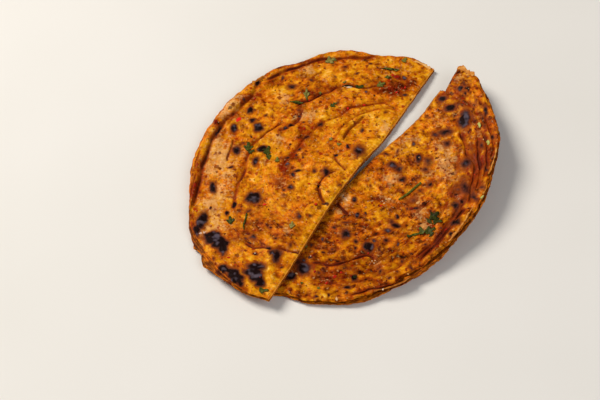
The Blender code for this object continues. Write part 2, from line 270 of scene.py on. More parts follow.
# A scorched spot: (x, y, width, height[, strength[, turn in degrees]]).
SPOTS = {
    "half_left": (
        # the large ones near the rim
        (-90, -42, 5.4, 12, 1.2, -14), (-92, -49, 3.8, 8, 1.1, 5), (-88, -37.5, 3.6, 5, 0.9),
        (-84.6, -53, 6, 5, 1.3, -20), (-81.5, -54, 7.5, 7.5, 1.35), (-78, -57.5, 8, 7, 1.35, -30),
        (-83.5, -56.5, 6, 5, 1.2), (-80, -60.5, 6.5, 4, 1.1, -25), (-76, -62.5, 4.8, 9, 1.25, 5),
        (-75.5, -67, 2.8, 5, 0.8), (-79, -51, 6, 3, 0.9, -35), (-74, -59, 4, 4, 1.1),
        (-75, -78.8, 6.2, 5.4, 1.3), (-72, -80.5, 5, 3, 1.1, -20), (-68.5, -82.3, 6.4, 6, 1.3),
        (-66.5, -86, 6.5, 6.5, 1.3, -20), (-64.5, -89, 4.5, 3.6, 1.1), (-63.6, -86, 3, 3, 0.9),
        (-55, -77.5, 8.5, 5.6, 1.3), (-56.5, -81.5, 9, 5, 1.3), (-60, -81.5, 4, 2.4, 0.9),
        (-54.5, -85, 6.6, 6, 1.35), (-52.3, -88.5, 5, 5, 1.25), (-54, -90, 3.5, 2.2, 0.9),
        (-43, -70.5, 5.4, 8.5, 1.1, -8), (-45, -68, 4, 4, 0.95), (-41.5, -67.5, 3, 2.4, 0.75),
        (-58, -24, 7.6, 8, 1.3), (9.3, 10, 7.5, 9.5, 0.95), (8.6, 5, 5.4, 4, 0.72),
        # the rest
        (-84, -15.5, 3.6, 8, 1.15, 12), (-70, -28.5, 2.2, 4.4, 1.2), (-74.5, -35.5, 2.6, 2.6, 1.2),
        (-61, -34, 5, 3.4, 0.75, 10), (-57.5, -55.5, 4, 4.5, 0.85), (-62, -56.3, 2, 2.4, 0.9),
        (-44, -57.5, 3, 3, 0.9), (-47, -49.3, 1.6, 2, 0.85), (-35, -62.5, 3.2, 5.5, 0.65),
        (-40, -78, 1.6, 1.8, 0.8), (-56, -68, 2.6, 2.2, 1.1), (-29.5, -41, 3.4, 5.4, 0.86, 10),
        (-22.5, -41, 3.6, 2.8, 0.76), (-34.5, -17.5, 4, 4.6, 0.92), (-39, -24, 3.6, 3.8, 0.66),
        (-39, -19, 2.2, 2, 0.8), (-19, -32.5, 2.2, 1.8, 0.9), (-13.5, -31.7, 3.4, 1.8, 1.0),
        (-23, -15.5, 1.3, 1.3, 0.9), (-81, -71, 2, 3.4, 0.7), (-62, 46.5, 3.6, 5, 1.15, -15),
        (-60, 38, 3.6, 3.6, 0.95), (-56, 32, 6, 6.2, 1.15), (-72, 31.5, 4, 6, 1.1, -15),
        (-70, 13.5, 5, 6.4, 1.05, 10), (-66, 19, 2.6, 2.6, 0.7), (-54, 15, 6, 3.4, 1.2, 38),
        (-57, 5, 3.2, 6, 1.0, -10), (-52, 43, 2.8, 2.6, 0.8), (-34.5, 67.5, 5.6, 4.6, 0.85, 25),
        (-21, 74, 4.4, 2.8, 0.72), (-38, 31.5, 3.4, 2.6, 1.15, 20), (-35, 34, 3.2, 2.2, 1.1, 20),
        (-29, 42.3, 2.2, 2, 1.2), (-29.5, 47, 2, 3.4, 0.7), (-27, 36.5, 2.4, 1.8, 0.8),
        (-61, 25.5, 1.6, 2, 0.95), (-37, 1.5, 3.2, 3.2, 1.1), (-31, 9, 2, 2, 0.85),
        (-27, 7, 2, 1.8, 0.85), (-36.7, 7.7, 2.6, 1.8, 0.85), (-32, 12, 2, 1.8, 0.8),
        (-29.5, 14, 3.2, 4.4, 0.85, -30), (-30, -4.5, 6.2, 2.6, 0.95, 8), (-32.8, -7.6, 2.6, 3, 1.1),
        (-19.5, -5, 2.8, 3.8, 0.75), (-12, -6.5, 4, 6.5, 0.95, 10), (-12.5, 1, 1.6, 1.6, 0.8),
        (-35, 18.3, 1.8, 1.6, 1.0), (-73, 0, 3.2, 2, 1.0), (-82, -12, 3, 3, 0.6),
        (-24.5, 24, 3.8, 4.6, 0.95, -35), (-15, 34.5, 3.4, 6, 1.0, -35), (-43, -13, 8, 9, 0.42),
        (1.5, 85, 5, 2.6, 0.75), (10, 79, 2.8, 2, 0.8), (19.5, 87.5, 3, 1.8, 0.8), (9, 87, 1.4, 1.4, 0.8),
        (14.5, 76, 1.4, 1.4, 0.8), (-5.5, 76, 2.4, 3.2, 0.65), (42, 75, 3.2, 2.8, 1.1),
        (52.5, 89, 3.4, 3.6, 0.72), (16, 61.5, 2, 2, 1.0), (41.5, 60, 3.4, 2.2, 0.95),
        (21.5, 59, 1.6, 1.6, 0.9), (-3.5, 54, 2.6, 3.2, 0.7), (27.5, 44.5, 2.4, 2.4, 0.75),
        (0.5, 34, 1.6, 1.6, 0.9), (12, 30.5, 2.4, 3.8, 0.8), (15.5, 23.5, 2, 2, 0.75),
        (2.5, 14.5, 2.2, 3.6, 1.1), (-3.7, -18, 3.4, 3.8, 0.7), (-11, -23.5, 2.2, 2.2, 0.7),
        (-6, 7, 1.6, 1.8, 1.2), (-17, -17.5, 1.6, 2.2, 1.2), (-48, -64, 4, 2.2, 1.0, -15),
        (-57.5, 69, 2.4, 4.4, 1.2), (-59, 47, 1.6, 2, 0.7), (-64.5, 62, 2, 1.8, 0.6),
        (-66, 54, 2.2, 2.6, 0.8), (-80, 11, 1.8, 1.6, 0.7), (-83, 10.5, 1.6, 1.6, 0.65),
        (-78, -20, 1.6, 1.2, 0.7), (-84.5, -32, 1.4, 1.6, 0.9), (-40.5, 74, 2, 5.5, 0.8), (-82.3, 28, 2.6, 10, 0.95, -24),
        (24, 84, 1.8, 1.4, 0.8), (31, 90, 1.6, 1.3, 0.75), (-12, 83, 1.6, 1.3, 0.75),
    ),
    "half_right": (
        (74, -23, 6, 13, 0.8, 12), (79, -31, 4, 10, 0.8, 20), (42, -27, 8, 6, 0.6, 20),
        (46.5, -20, 5, 4, 0.66), (-30, -72, 6, 10, 0.7, -20), (28, -43, 5, 7, 0.7, 30), (80, 5, 3, 12, 0.55, 5),
        (77, 57.7, 3.8, 3.8, 1.1), (80, 52.7, 2.6, 3.6, 0.85), (65.5, 51, 4.6, 3.6, 1.1),
        (69.5, 42.7, 6, 4.6, 1.15, 10), (78, 31, 5.8, 11, 1.3, -8), (79, 35, 5, 4, 1.0),
        (91, 34.5, 2.6, 7.5, 1.0), (58.5, 22.7, 5, 5, 0.82), (65, 23.6, 9.5, 6.5, 0.9),
        (65.5, 13.6, 4.6, 6, 0.82), (44.5, 16.8, 3.2, 3.6, 0.85), (34, 11.8, 1.8, 3.4, 0.7),
        (26.8, 10, 5.4, 2.6, 0.85, -15), (30, 1, 5, 5.4, 0.95), (34.5, -2.7, 7, 5.4, 0.82), (32, -0.6, 5, 4, 0.8),
        (47.3, 4.5, 3.6, 5.4, 1.1), (53, 1.8, 6, 9, 0.74, -10), (50.5, -4, 5, 5.6, 0.75),
        (76, -4.5, 8, 9, 0.88), (86.8, 7, 3.4, 7, 0.75), (93.6, 12.7, 3.6, 4.4, 0.8),
        (87.5, -11, 2.6, 5.4, 0.8), (36.4, -11, 4.6, 4.6, 0.95), (53.5, -16, 3.6, 5.4, 0.9),
        (45, -9, 1.6, 1.6, 0.8), (60, -14, 3, 3, 0.55), (73, -14, 3.4, 3, 0.55),
        (5.5, -26, 3.2, 4.4, 0.95), (7, -37, 2.9, 2.9, 1.2), (12, -36, 2, 2, 0.9),
        (31.7, -38.5, 2.2, 3.6, 1.0), (30.5, -45.5, 6, 3.6, 0.95, -10), (25.5, -48.3, 4.4, 3.2, 0.9),
        (0, -42.5, 7, 2.2, 0.7), (-7.5, -46, 2.6, 2.6, 0.8), (-0.5, -51, 6.2, 6.2, 0.95),
        (-15, -54, 2.2, 3.2, 0.95), (6, -56, 3.4, 3.4, 0.85), (5, -61, 2.6, 2.6, 0.85),
        (16.7, -56, 3, 3, 0.9), (13, -60, 5.2, 6, 1.2), (24, -56, 3, 3, 0.85),
        (30.5, -58.5, 1.8, 3.4, 0.85), (-15, -63.7, 2, 2, 0.9), (-22.5, -67.5, 2.4, 2, 1.0),
        (-21.7, -58.7, 3.4, 3.4, 0.75), (-26.5, -70, 3.4, 3.4, 0.85), (-26.5, -75.5, 7.5, 8, 1.1),
        (-34.5, -81, 5.4, 4.4, 1.25), (4, -82, 3.6, 4, 1.1), (-1, -89.5, 5, 2.2, 1.0),
        (-12, -95, 1.6, 1.6, 0.9), (-19, -95.5, 3.4, 1.3, 0.9), (13.3, -83.3, 3, 3, 0.5),
        (20, -78.3, 4.4, 3.6, 0.8), (43, -33, 7, 2.6, 0.85), (38, -33, 2.8, 2.8, 0.8),
        (67, -35, 4.4, 7, 0.95), (71.5, -32.5, 3.4, 3.4, 0.9), (66, -48, 6.5, 4.8, 0.95),
        (63, -56.5, 4.2, 3.4, 0.9), (43, -41, 1.8, 1.8, 0.85), (68, -21, 8, 6, 0.55, 15), (70, -24, 6, 4, 0.6), (48, -22, 3, 2.4, 0.6), (84, 20, 2.4, 4, 0.6),
        (86, 44, 2, 5, 0.6), (72, 61, 2, 2, 0.65), (56, 38, 1.8, 1.6, 0.7), (60, 33, 1.6, 1.6, 0.7),
        (52, 27, 1.6, 2.2, 0.7), (20, -2, 2, 3, 0.6), (16, -14, 2.2, 2.4, 0.65), (23, -18, 2, 2.6, 0.65),
        (34, -18, 3, 2.4, 0.65), (28, -33, 2.2, 2, 0.7), (18, -40, 2.6, 2.2, 0.7), (-10, -36, 2.2, 2, 0.6),
        (52, -36, 2.4, 2, 0.8), (57, -50, 2.4, 2, 0.8), (47, -60, 4, 2.6, 0.75, 40),
        (39, -66, 3, 2.4, 0.75), (33, -72, 3.4, 2.4, 0.75, 30), (25, -83, 2.6, 2, 0.8),
        (-18, -79, 3, 3, 0.75), (-9, -61, 2.4, 2, 0.75), (38, -77, 2.6, 3.4, 0.8, 40),
        (30, -79, 2, 2, 0.7), (2, -76, 3.4, 1.8, 0.6), (90, 22, 1.8, 3, 0.7), (84, -25, 3, 5, 0.7),
    ),
}

# A blister is a bubble of crust: (x, y, width, height, rise).
BLISTERS = {
    "half_left": (
        (-58, -24, 9, 9.5, 1.3), (8.5, 8.5, 12, 15, 1.3), (-56, 32.5, 7, 7, 0.8), (-54, 15, 8, 5, 0.7),
        (-57, 5, 5, 8, 0.7), (-70, 14, 6, 8, 0.6), (-62, 46.5, 5, 7, 0.6), (-72, 32, 5, 7, 0.6),
        (-84, -15.5, 5, 9, 0.7), (-82, -56, 16, 16, 1.2), (-90, -43, 8, 15, 0.8), (-67, -84, 10, 12, 1.0),
        (-75, -78.5, 7, 6, 0.7), (-54.5, -83, 13, 15, 1.1), (-43, -71, 6, 10, 0.7),
        (-30.5, -6.5, 8, 7, 0.8), (-34.5, 67.5, 8, 6, 0.7), (-12, -6.5, 6, 9, 0.7), (-37, 32.5, 9, 6, 0.7),
        (-74.5, -35.5, 4, 4, 0.5), (-70, -28.5, 4, 6, 0.5), (-75, 50, 12, 12, 1.0), (-22, 43, 14, 12, 0.9),
        (-24, 80, 11, 10, 0.7), (23, 36, 13, 11, 0.8), (-48, 60, 14, 10, 0.6), (-8, 20, 18, 14, 0.7),
        (-75, -20, 13, 22, 0.6), (-50, -5, 14, 18, 0.6), (-35, -50, 16, 14, 0.5), (5, 58, 16, 10, 0.5),
        (-46.5, -79, 8, 24, 1.3), (-39, -24, 6, 6, 0.5), (8, -8, 14, 10, 0.5), (32, 84, 12, 10, 0.5),
    ),
    "half_right": (
        (78, 31, 8, 13, 0.9), (69.5, 42.7, 8, 7, 0.7), (47.3, 4.5, 6, 8, 0.8), (53, 1.8, 7, 9, 0.6),
        (30, 1, 8, 8, 0.7), (36.4, -11, 7, 7, 0.6), (-0.5, -51, 8.5, 8.5, 0.7), (13, -60, 7, 8, 0.8),
        (7, -37, 5, 5, 0.5), (62, 8, 16, 24, 0.9), (30, -8, 16, 12, 0.7), (64.5, 23.6, 10, 8, 0.6),
        (76, -4.5, 9, 10, 0.6), (40, 20, 12, 9, 0.5), (-3, -26, 6, 9, 0.9), (-5.5, -34, 5, 6, 0.8),
        (20, -35, 14, 12, 0.6), (8, -48, 20, 16, 0.6), (45, -25, 14, 10, 0.6), (-10, -80, 18, 9, 0.6),
        (15, -86, 20, 6, 0.6), (-12, -94, 16, 5, 0.5), (66, -48, 8, 7, 0.5), (30, -45, 10, 8, 0.5),
        (72, 20, 6, 24, 0.5), (24, -74, 14, 8, 0.5),
    ),
}

# Zones of the crust: (x, y, width, height, strength).
PALE = {
    "half_left": (
        (-82, -30, 14, 44, 0.85), (-89, -51, 5, 2.6, 1.5), (-86, -49.4, 6, 2.6, 1.5), (-82, 7, 13, 36, 0.95), (-75, -5, 8, 22, 0.75),
        (-22, 43, 12, 9, 0.9), (-24, 80, 10, 9, 0.9), (-10, 25, 8, 7, 0.5), (23.5, 34, 9, 7, 0.8),
        (-75, 50, 10, 10, 1.2), (-78, 44, 8, 12, 0.95), (-71, 57, 8, 8, 0.95), (-40, 60, 7, 14, 0.7), (-39, -24, 6, 6, 0.8), (-30, -8.5, 3, 3, 0.9),
        (-43, -14, 8, 10, 0.5), (-30, 42, 6, 6, 0.8), (-44, 22, 12, 8, 0.5), (-66, 38, 10, 10, 0.35),
        (-70, 12, 8, 12, 0.6), (-52, -48, 8, 6, 0.5), (-36, -47, 7, 9, 0.5), (-76, -78, 12, 3, 0.4),
        (-6, 6, 6, 6, 0.3), (-14, -18, 8, 9, 0.25), (40, 82, 14, 8, 0.3), (-78, -45, 9, 8, 0.8),
        (-50, 7, 6, 5, 0.6), (-12, 76, 10, 7, 0.4), (-33, -66, 9, 4, 0.6), (5, 5, 4, 6, 0.6),
        (-20, 5, 10, 8, 0.25), (-2, 44, 10, 5, 0.3),
    ),
    "half_right": (
        (46, -36, 8, 10, 0.9), (50, -46, 8, 8, 0.8), (49, -12, 6, 6, 0.8), (38, 12, 12, 8, 0.6),
        (64, 3, 13, 36, 0.85), (42, 20, 12, 7, 0.7), (30, -9, 13, 9, 0.9), (78, 63.5, 5, 8, 0.8),
        (82, 72, 5, 7, 0.9), (-1.7, -25, 6, 9, 1.3), (-5, -33, 4, 5, 1.2), (53, -8, 10, 8, 0.6),
        (16, -10, 12, 10, 0.4), (0, -46, 9, 4, 0.4), (26, -24, 10, 8, 0.6), (46, -28, 8, 5, 0.6),
        (64, 34, 10, 10, 0.35), (86, 12, 5, 16, 0.5), (84, -30, 6, 8, 0.4), (20, -92, 14, 3, 0.4),
        (-14, -59, 10, 5, 0.35), (16, -70, 6, 2.5, 0.6), (60, -40, 8, 8, 0.3), (-31, -79, 2.5, 4, 1.2),
    ),
}
MASALA = {
    "half_left": (
        (-43, -14, 8, 12, 0.9), (-39, 0, 7, 14, 1.3), (-33, 10, 8, 11, 1.3), (-28, 20, 8, 12, 1.25),
        (-24, 29, 10, 10, 1.15), (-16, 35, 10, 8, 1.0), (-30, 42, 7, 12, 0.8), (-3, 45, 16, 8, 0.7), (12, 51, 18, 7, 0.65),
        (35, 65, 28, 20, 0.95), (48, 70, 14, 14, 0.6), (37, 76, 7, 6, 1.1), (-95.5, -20, 4, 22, 1.2),
        (-93, -2, 4, 18, 0.7), (-85, 34, 5, 8, 1.2), (-66, 56, 10, 9, 0.9),
        (-56, 58, 6, 10, 0.8), (-28, 88, 26, 6, 1.0), (-46, 72, 12, 8, 0.9), (-10, 68, 16, 7, 0.6),
        (-24, 62, 12, 9, 0.6), (-68, -12, 5, 30, 0.6), (-60, 22, 8, 8, 0.55), (-96, -45, 5, 22, 0.9),
        (-58, -52, 12, 10, 0.6), (-70, -50, 9, 18, 0.45), (-82, -72, 8, 9, 0.6), (-51, -30, 8, 8, 0.7),
        (-19, -32, 8, 5, 0.6), (-36, -76, 10, 8, 0.6), (-22, -54, 9, 10, 0.45), (-45, -24, 8, 7, 0.6),
        (3, 48, 5, 4, 1.0), (14, 51.5, 4, 3, 1.0), (44, 64, 8, 8, 0.7), (-57, -74, 16, 5, 0.4),
        (-69, 38.5, 8, 6, 0.6), (20, 90, 30, 7, 0.35), (-72, 26, 5, 12, 0.35), (-35, 52, 8, 8, 0.4),
    ),
    "half_right": (
        (10, -72, 100, 44, 0.42), (88, 0, 22, 80, 0.42), (-8, -82, 20, 12, 1.0), (-13, -86, 10, 6, 1.0), (-20, -75, 12, 8, 0.8), (4, -76, 16, 8, 0.7),
        (24, -27, 20, 12, 0.8), (10, -28, 10, 12, 0.55), (36, -22, 14, 10, 0.5), (82, 0, 6, 34, 0.8),
        (78, -14, 6, 26, 0.6), (64, -52, 8, 12, 0.6), (48, -64, 12, 8, 0.6), (34, -80, 22, 9, 0.7),
        (12, -92, 22, 5, 0.6), (70, -30, 12, 16, 0.7), (76, 48, 8, 12, 0.8), (66, 54, 9, 8, 0.9),
        (24, 4, 14, 8, 0.5), (44, -38, 16, 8, 0.7), (30, -66, 22, 8, 0.5), (84, 26, 8, 18, 0.6),
        (14, -46, 24, 8, 0.35), (-6, -60, 22, 10, 0.35), (-30, -90, 12, 6, 0.6), (50, 30, 9, 8, 0.4),
        (92, -4, 5, 26, 0.8), (60, -12, 10, 10, 0.3), (2, -18, 8, 6, 0.4),
    ),
}
# Toast zones darken the crust: partly real browning, and partly painted shade, such as the darker lower part of the
# left half and the shaded valleys between the right half's plies.
TOAST_AND_SHADE = {
    "half_left": (
        (-56, -74, 60, 30, 0.35), (-55, -46, 30, 16, 0.85), (32, 68, 24, 14, 0.95), (-40, -62, 30, 24, 0.3), (-41, -79, 4, 12, 0.6), (-65, -55, 10, 10, 0.8), (-42, -55, 12, 9, 0.8),
        (-62, 54, 8, 9, 1.1), (-38, 81, 12, 6, 1.1), (28, 82, 10, 6, 0.8), (-30, -52, 10, 9, 0.7), (-16, 62, 12, 5, 0.6), (-28, 44, 8, 9, 0.8), (-8, 56, 12, 6, 0.6),
        (-35, -58, 26, 14, 0.7), (-60, -60, 22, 14, 0.45), (-93, -34, 5, 20, 0.4), (-40, -48, 12, 14, 0.8),
        (-65, -34, 12, 14, 0.6), (-30, 47, 10, 14, 0.9), (-36, 0, 10, 22, 0.9), (0, 12, 12, 14, 0.5),
        (-20, 22, 10, 20, 0.4), (-36, 90, 14, 6, 0.9), (42, 73, 14, 8, 1.0), (-20, 62, 16, 10, 0.7), (-22, 72, 18, 12, 0.5), (-10, 66, 22, 8, 0.5), (10, 74, 36, 10, 0.3),
        (-44, -14, 10, 10, 0.5), (-24, 60, 14, 10, 0.45), (-58, 66, 10, 10, 0.5), 
        (-48, -40, 20, 14, 0.35), (-75, -55, 14, 22, 0.3), (0, 28, 14, 18, 0.2),
        (-50, 78, 16, 8, 0.5), (-28, 90, 28, 6, 0.7), (28, 62, 24, 10, 0.35), (-70, 20, 8, 22, 0.35),
        (-22, -44, 12, 12, 0.3), (50, 88, 10, 8, 0.5),
    ),
    "half_right": (
        (87, 0, 10, 44, 0.5), (78, -26, 10, 18, 1.0), (48, 0, 12, 12, 0.7), (8, -40, 10, 10, 0.7),
        (52, -30, 12, 8, 0.8), (54, -48, 10, 10, 0.8), (18, -61, 13, 8, 1.0), (10, -78, 12, 6, 0.8), (-28, -77, 11, 10, 1.1), (88, 28, 8, 24, 0.6), (-12, -54, 22, 26, 0.6), (-28, -74, 16, 14, 0.8), (4, -44, 18, 14, 0.9), (18, -60, 18, 12, 0.7),
        (40, -52, 30, 20, 0.4), (50, -47, 11, 13, 1.1), (75, -26, 10, 16, 1.1), (40, 2, 18, 10, 0.7),
        (12, -84, 12, 8, 0.9), (66, -8, 8, 8, 0.5),
        (73, -24, 12, 14, 1.0), (70, -40, 14, 14, 0.5), (30, -68, 40, 18, 0.6), (50, -60, 16, 14, 0.5),
        (0, -76, 40, 12, 0.6), (86, -5, 12, 44, 0.6), (84, 35, 12, 30, 0.7), (78, 62, 14, 22, 0.7),
        (50, 25, 22, 20, 0.3), (20, 0, 20, 12, 0.5), (82, -24, 6, 20, 0.7), (34, -86, 34, 10, 0.7),
        (70, 44, 18, 14, 0.6), (0, -34, 18, 16, 0.5), (56, -14, 18, 14, 0.5), (32, -34, 26, 12, 0.5),
        (-8, -92, 30, 10, 0.35),
    ),
}

# Gold zones brighten the crust and turn it yellower: partly real golden baking, and partly painted light, such as lit
# ridges and the right half's crust beside the cut, painted brighter against the left half's shadow.
GOLD_AND_PAINTED_LIGHT = {
    "half_left": (
        (5, -11, 5, 8, 1.0), (-38, 12, 8, 8, 0.9), (-15, 2, 8, 8, 0.9), (15, 30, 8, 10, 1.0), (8, 39, 8, 6, 0.8),
        (-10, 50, 10, 5, 0.8), (-94, 4, 5, 18, 0.7), (-58, -10, 8, 8, 0.8), (-55, -26, 6, 8, 0.5), (-18, -35, 7, 8, 0.8),
        (28, 36, 12, 18, 1.2), (20, 22, 12, 12, 1.1), (-45, 78, 10, 6, 0.9), (52, 76, 8, 12, 0.7), (-12, 0, 8, 8, 0.7),
        (-54, -2, 12, 20, 0.3), (-54, 28, 14, 12, 0.6), (-44, 70, 12, 10, 1.2), (-45, 50, 10, 8, 0.7),
        (-33, 31, 8, 8, 0.8), (-44, 13, 12, 10, 0.6), (-11, 45, 12, 7, 0.8), (-33, -20, 12, 14, 0.5),
        (-80, -42, 8, 14, 0.6), (-73, 50, 8, 14, 0.9), (-81, 2, 10, 14, 0.7),
        (-90, 20, 8, 26, 0.7), (-96, 2, 7, 30, 0.9), (-68, 60, 8, 12, 0.8), (-60, 56, 8, 8, 0.5),
        (-15, -36, 12, 14, 0.9), (-20, -48, 10, 14, 0.8), (10, 32, 14, 14, 1.0), (24, 22, 12, 8, 1.0),
        (20, 42, 14, 10, 0.9), (-10, 30, 12, 10, 0.6), (-3, 0, 12, 12, 0.8), (3, -12, 6, 16, 1.1), (-12, -42, 5, 20, 0.9), (-32, -66, 6, 14, 0.7),
        (-10, -25, 7, 14, 1.0), (-47.5, -78, 8, 26, 1.7), (-52, -92, 16, 6, 1.0), (-62, -70, 14, 5, 0.8),
        (-90, -62, 6, 12, 0.9), (-84, -80, 6, 10, 0.7), (-30, -70, 8, 8, 0.6),
        (52, 82, 10, 8, 1.0), (14, 76, 16, 8, 0.8), (-10, 78, 12, 8, 0.6), (-25, 30, 8, 8, 0.5),
        (-60, 45, 10, 12, 0.5), (-75, -55, 8, 12, 0.5), (-20, -10, 14, 16, 0.6), (30, 88, 20, 6, 0.6),
        (-88, -36, 8, 18, 0.7), (38, 50, 5, 14, 1.0), (-2, 92, 16, 4, 0.7),
    ),
    "half_right": (
        (14, -92, 16, 4, 1.0), (26, -87.5, 12, 5, 1.0), (38, -80, 10, 7, 1.0), (58, -21, 8, 10, 0.9), (78, 8, 8, 10, 0.6),
        (66, 10, 10, 8, 0.8), (54, -60, 10, 4, 0.6), (28, 5, 10, 9, 1.1), (42, 14, 14, 8, 1.0), (18, -90, 14, 6, 1.0), (78, 62, 6, 12, 1.0), (60, -22, 8, 8, 0.9),
        (50, 16, 12, 10, 1.0), (84, 2, 8, 14, 0.5), (75, 12, 6, 20, 0.4), (12, -6, 10, 10, 0.6), (60, -19, 10, 8, 0.9), (22, -34, 12, 14, 0.9), (2, -28, 10, 10, 1.0),
        (12, -17, 10, 12, 0.9), (42, -46, 12, 10, 0.8), (26, -76, 14, 10, 1.0), (2, -80, 8, 10, 0.9),
        (10, -92, 24, 6, 0.9), (-14, -95, 16, 5, 1.0), (-24, -88, 12, 6, 0.8), (64, 22, 6, 16, 0.5),
        (58, 2, 8, 20, 0.7), (30, 18, 14, 6, 0.7), (70, 46, 10, 8, 0.7), (80, 66, 6, 10, 0.8),
        (44, -68, 12, 6, 0.7), (60, -42, 8, 14, 0.5), (34, -62, 14, 6, 0.6), (8, -56, 14, 8, 0.5),
        (-14, -52, 8, 8, 0.5), (56, 30, 10, 10, 0.6), (82, -8, 6, 14, 0.4), (76, -30, 6, 12, 0.6),
    ),
}


# ---------------------------------------------------------------- measuring the listed shapes

LINE_STEP = 1.5
FOLD_REACH = 11.0


def rounded(points):
    """The line through these points, curved between them and cut into short steps."""
    p = np.array(points, float)
    p = np.vstack([2 * p[0] - p[1], p, 2 * p[-1] - p[-2]])
    line = []
    for a, b, c, d in zip(p, p[1:], p[2:], p[3:]):
        steps = max(2, int(np.hypot(*(c - b)) / LINE_STEP))
        for t in np.arange(steps)[:, None] / steps:
            line.append(0.5 * (2 * b + (c - a) * t + (2 * a - 5 * b + 4 * c - d) * t**2
                               + (3 * b - a - 3 * c + d) * t**3).ravel())
    return np.vstack(line + [p[-2]])


def beside(points, x, y, reach=FOLD_REACH):
    """(distance, share): signed distance from a line, positive on its left, and the share of its length."""
    line = rounded(points)
    best, side, share = np.full(x.shape, reach**2), np.ones(x.shape), np.zeros(x.shape)
    for k, (a, b) in enumerate(zip(line, line[1:])):
        near = np.flatnonzero((x > min(a[0], b[0]) - reach) & (x < max(a[0], b[0]) + reach)
                              & (y > min(a[1], b[1]) - reach) & (y < max(a[1], b[1]) + reach))
        dx, dy = x[near] - a[0], y[near] - a[1]
        ux, uy = b - a
        t = np.clip((dx * ux + dy * uy) / (ux * ux + uy * uy), 0, 1)
        d2 = (dx - t * ux) ** 2 + (dy - t * uy) ** 2
        closer = d2 < best[near]
        hit = near[closer]
        best[hit] = d2[closer]
        side[hit] = np.where(ux * dy[closer] - uy * dx[closer] >= 0, 1, -1)
        share[hit] = (k + t[closer]) / (len(line) - 1)
    return side * np.sqrt(best), share


def from_spot(spot, x, y):
    """Distance from the middle of a spot, 1 at its edge, for the points near it, and which those are."""
    cx, cy, width, height = spot[:4]
    turn = math.radians(spot[5]) if len(spot) > 5 else 0.0
    reach = max(width, height) * 1.6 + 1
    near = np.flatnonzero((abs(x - cx) < reach) & (abs(y - cy) < reach))
    dx, dy = x[near] - cx, y[near] - cy
    u = dx * math.cos(turn) + dy * math.sin(turn)
    v = dy * math.cos(turn) - dx * math.sin(turn)
    return near, np.hypot(u / (width / 2), v / (height / 2))


def wobbled(x, y, amount, size, seed):
    """The same points, strayed a little, so that what is measured from them has an uneven outline."""
    return x + amount * noise(x, y, size, seed), y + amount * noise(x, y, size, seed + 1)


def zone(spots, x, y, softness=1.0):
    """The strongest of these soft round zones at each point."""
    field = np.zeros(x.shape)
    for cx, cy, width, height, strength in spots:
        near = np.flatnonzero((abs(x - cx) < width * 1.4) & (abs(y - cy) < height * 1.4))
        q = ((x[near] - cx) / (width / 2)) ** 2 + ((y[near] - cy) / (height / 2)) ** 2
        field[near] = np.maximum(field[near], strength * np.exp(-q * 0.7 / softness))
    return field


# ---------------------------------------------------------------- the crust's upper side

def relief(half, x, y, theta, share):
    """Height of the crust over its even thickness: folds, blisters, wrinkles and the turn at the rim."""
    h = 0.60 * noise(x, y, 24, 11) + 0.50 * noise(x, y, 9, 12) + 0.34 * noise(x, y, 4.6, 13)
    h = h + 0.12 * noise(x, y, 2.2, 14) + 0.04 * noise(x, y, 1.2, 15)
    turn = coil_turn(half, theta, share)
    around = theta * share * 100
    drawn = 0.14 * noise(around / 7.0, turn * 20 / 1.7, 1.0, 22) + 0.10 * noise(around / 16.0, turn * 20 / 3.4, 1.0, 23)
    h = h + drawn * smooth((share - 0.10) / 0.2)
    px, py = wobbled(x, y, 0.5, 5, 31)
    for points, lip, groove, width, _ in FOLDS[half["name"]]:
        d, t = beside(points, px, py)
        ends = smooth(t / 0.12) * smooth((1 - t) / 0.12)
        raised = np.where(lip * d > 0, smooth(abs(d) / 0.9) * np.exp(-abs(d) / 5.0), 0)
        inside = abs(d) < FOLD_REACH - 0.5
        uneven = 1 + 0.45 * noise(x, y, 7, 41)
        h = h + np.where(inside, ends * uneven * (abs(lip) * 2.0 * raised - groove * 1.2 * bell(d, 0, width * 0.85)), 0)
    for cx, cy, width, height, rise in BLISTERS[half["name"]]:
        near, q = from_spot((cx, cy, width, height), px, py)
        h[near] += rise * 0.8 * np.clip(1 - q**2, 0, 1) ** 1.5 * (1 + 0.3 * noise(x[near], y[near], 3, 51))
    for spot in SPOTS[half["name"]]:
        near, q = from_spot(spot, px, py)
        size = min(spot[2], spot[3])
        h[near] += 0.05 * min(size, 5) * np.exp(-((q - 0.1) ** 2) * 0.9) - 0.02 * size * bell(q, 0.55, 0.25)
    return h


def crust_height(half, x, y, theta, share):
    """Height of the crust's upper side at these points."""
    base = floor_height(half, x, y)
    lift = RIM_LIFT * np.sin(theta) * smooth((share - RIM_LIFT_START) / (1 - RIM_LIFT_START)) ** 2
    thick = CENTRE_THICKNESS + (RIM_THICKNESS - CENTRE_THICKNESS) * np.clip(share, 0, 1)
    roll = 0.0
    if half is LEFT:  # the rounded turn outside the first fold
        d, _ = beside(FOLDS["half_left"][0][0], x, y, 14)
        to_rim = (1 - share) * 105
        inside = (d > 0) & (d < 13.5) & (to_rim < 16)
        roll = np.where(inside, 1.3 * np.sin(math.pi * np.clip(d / np.maximum(d + to_rim, 0.5), 0, 1)) ** 0.8, 0)
    return base + lift, thick + roll + relief(half, x, y, theta, share)


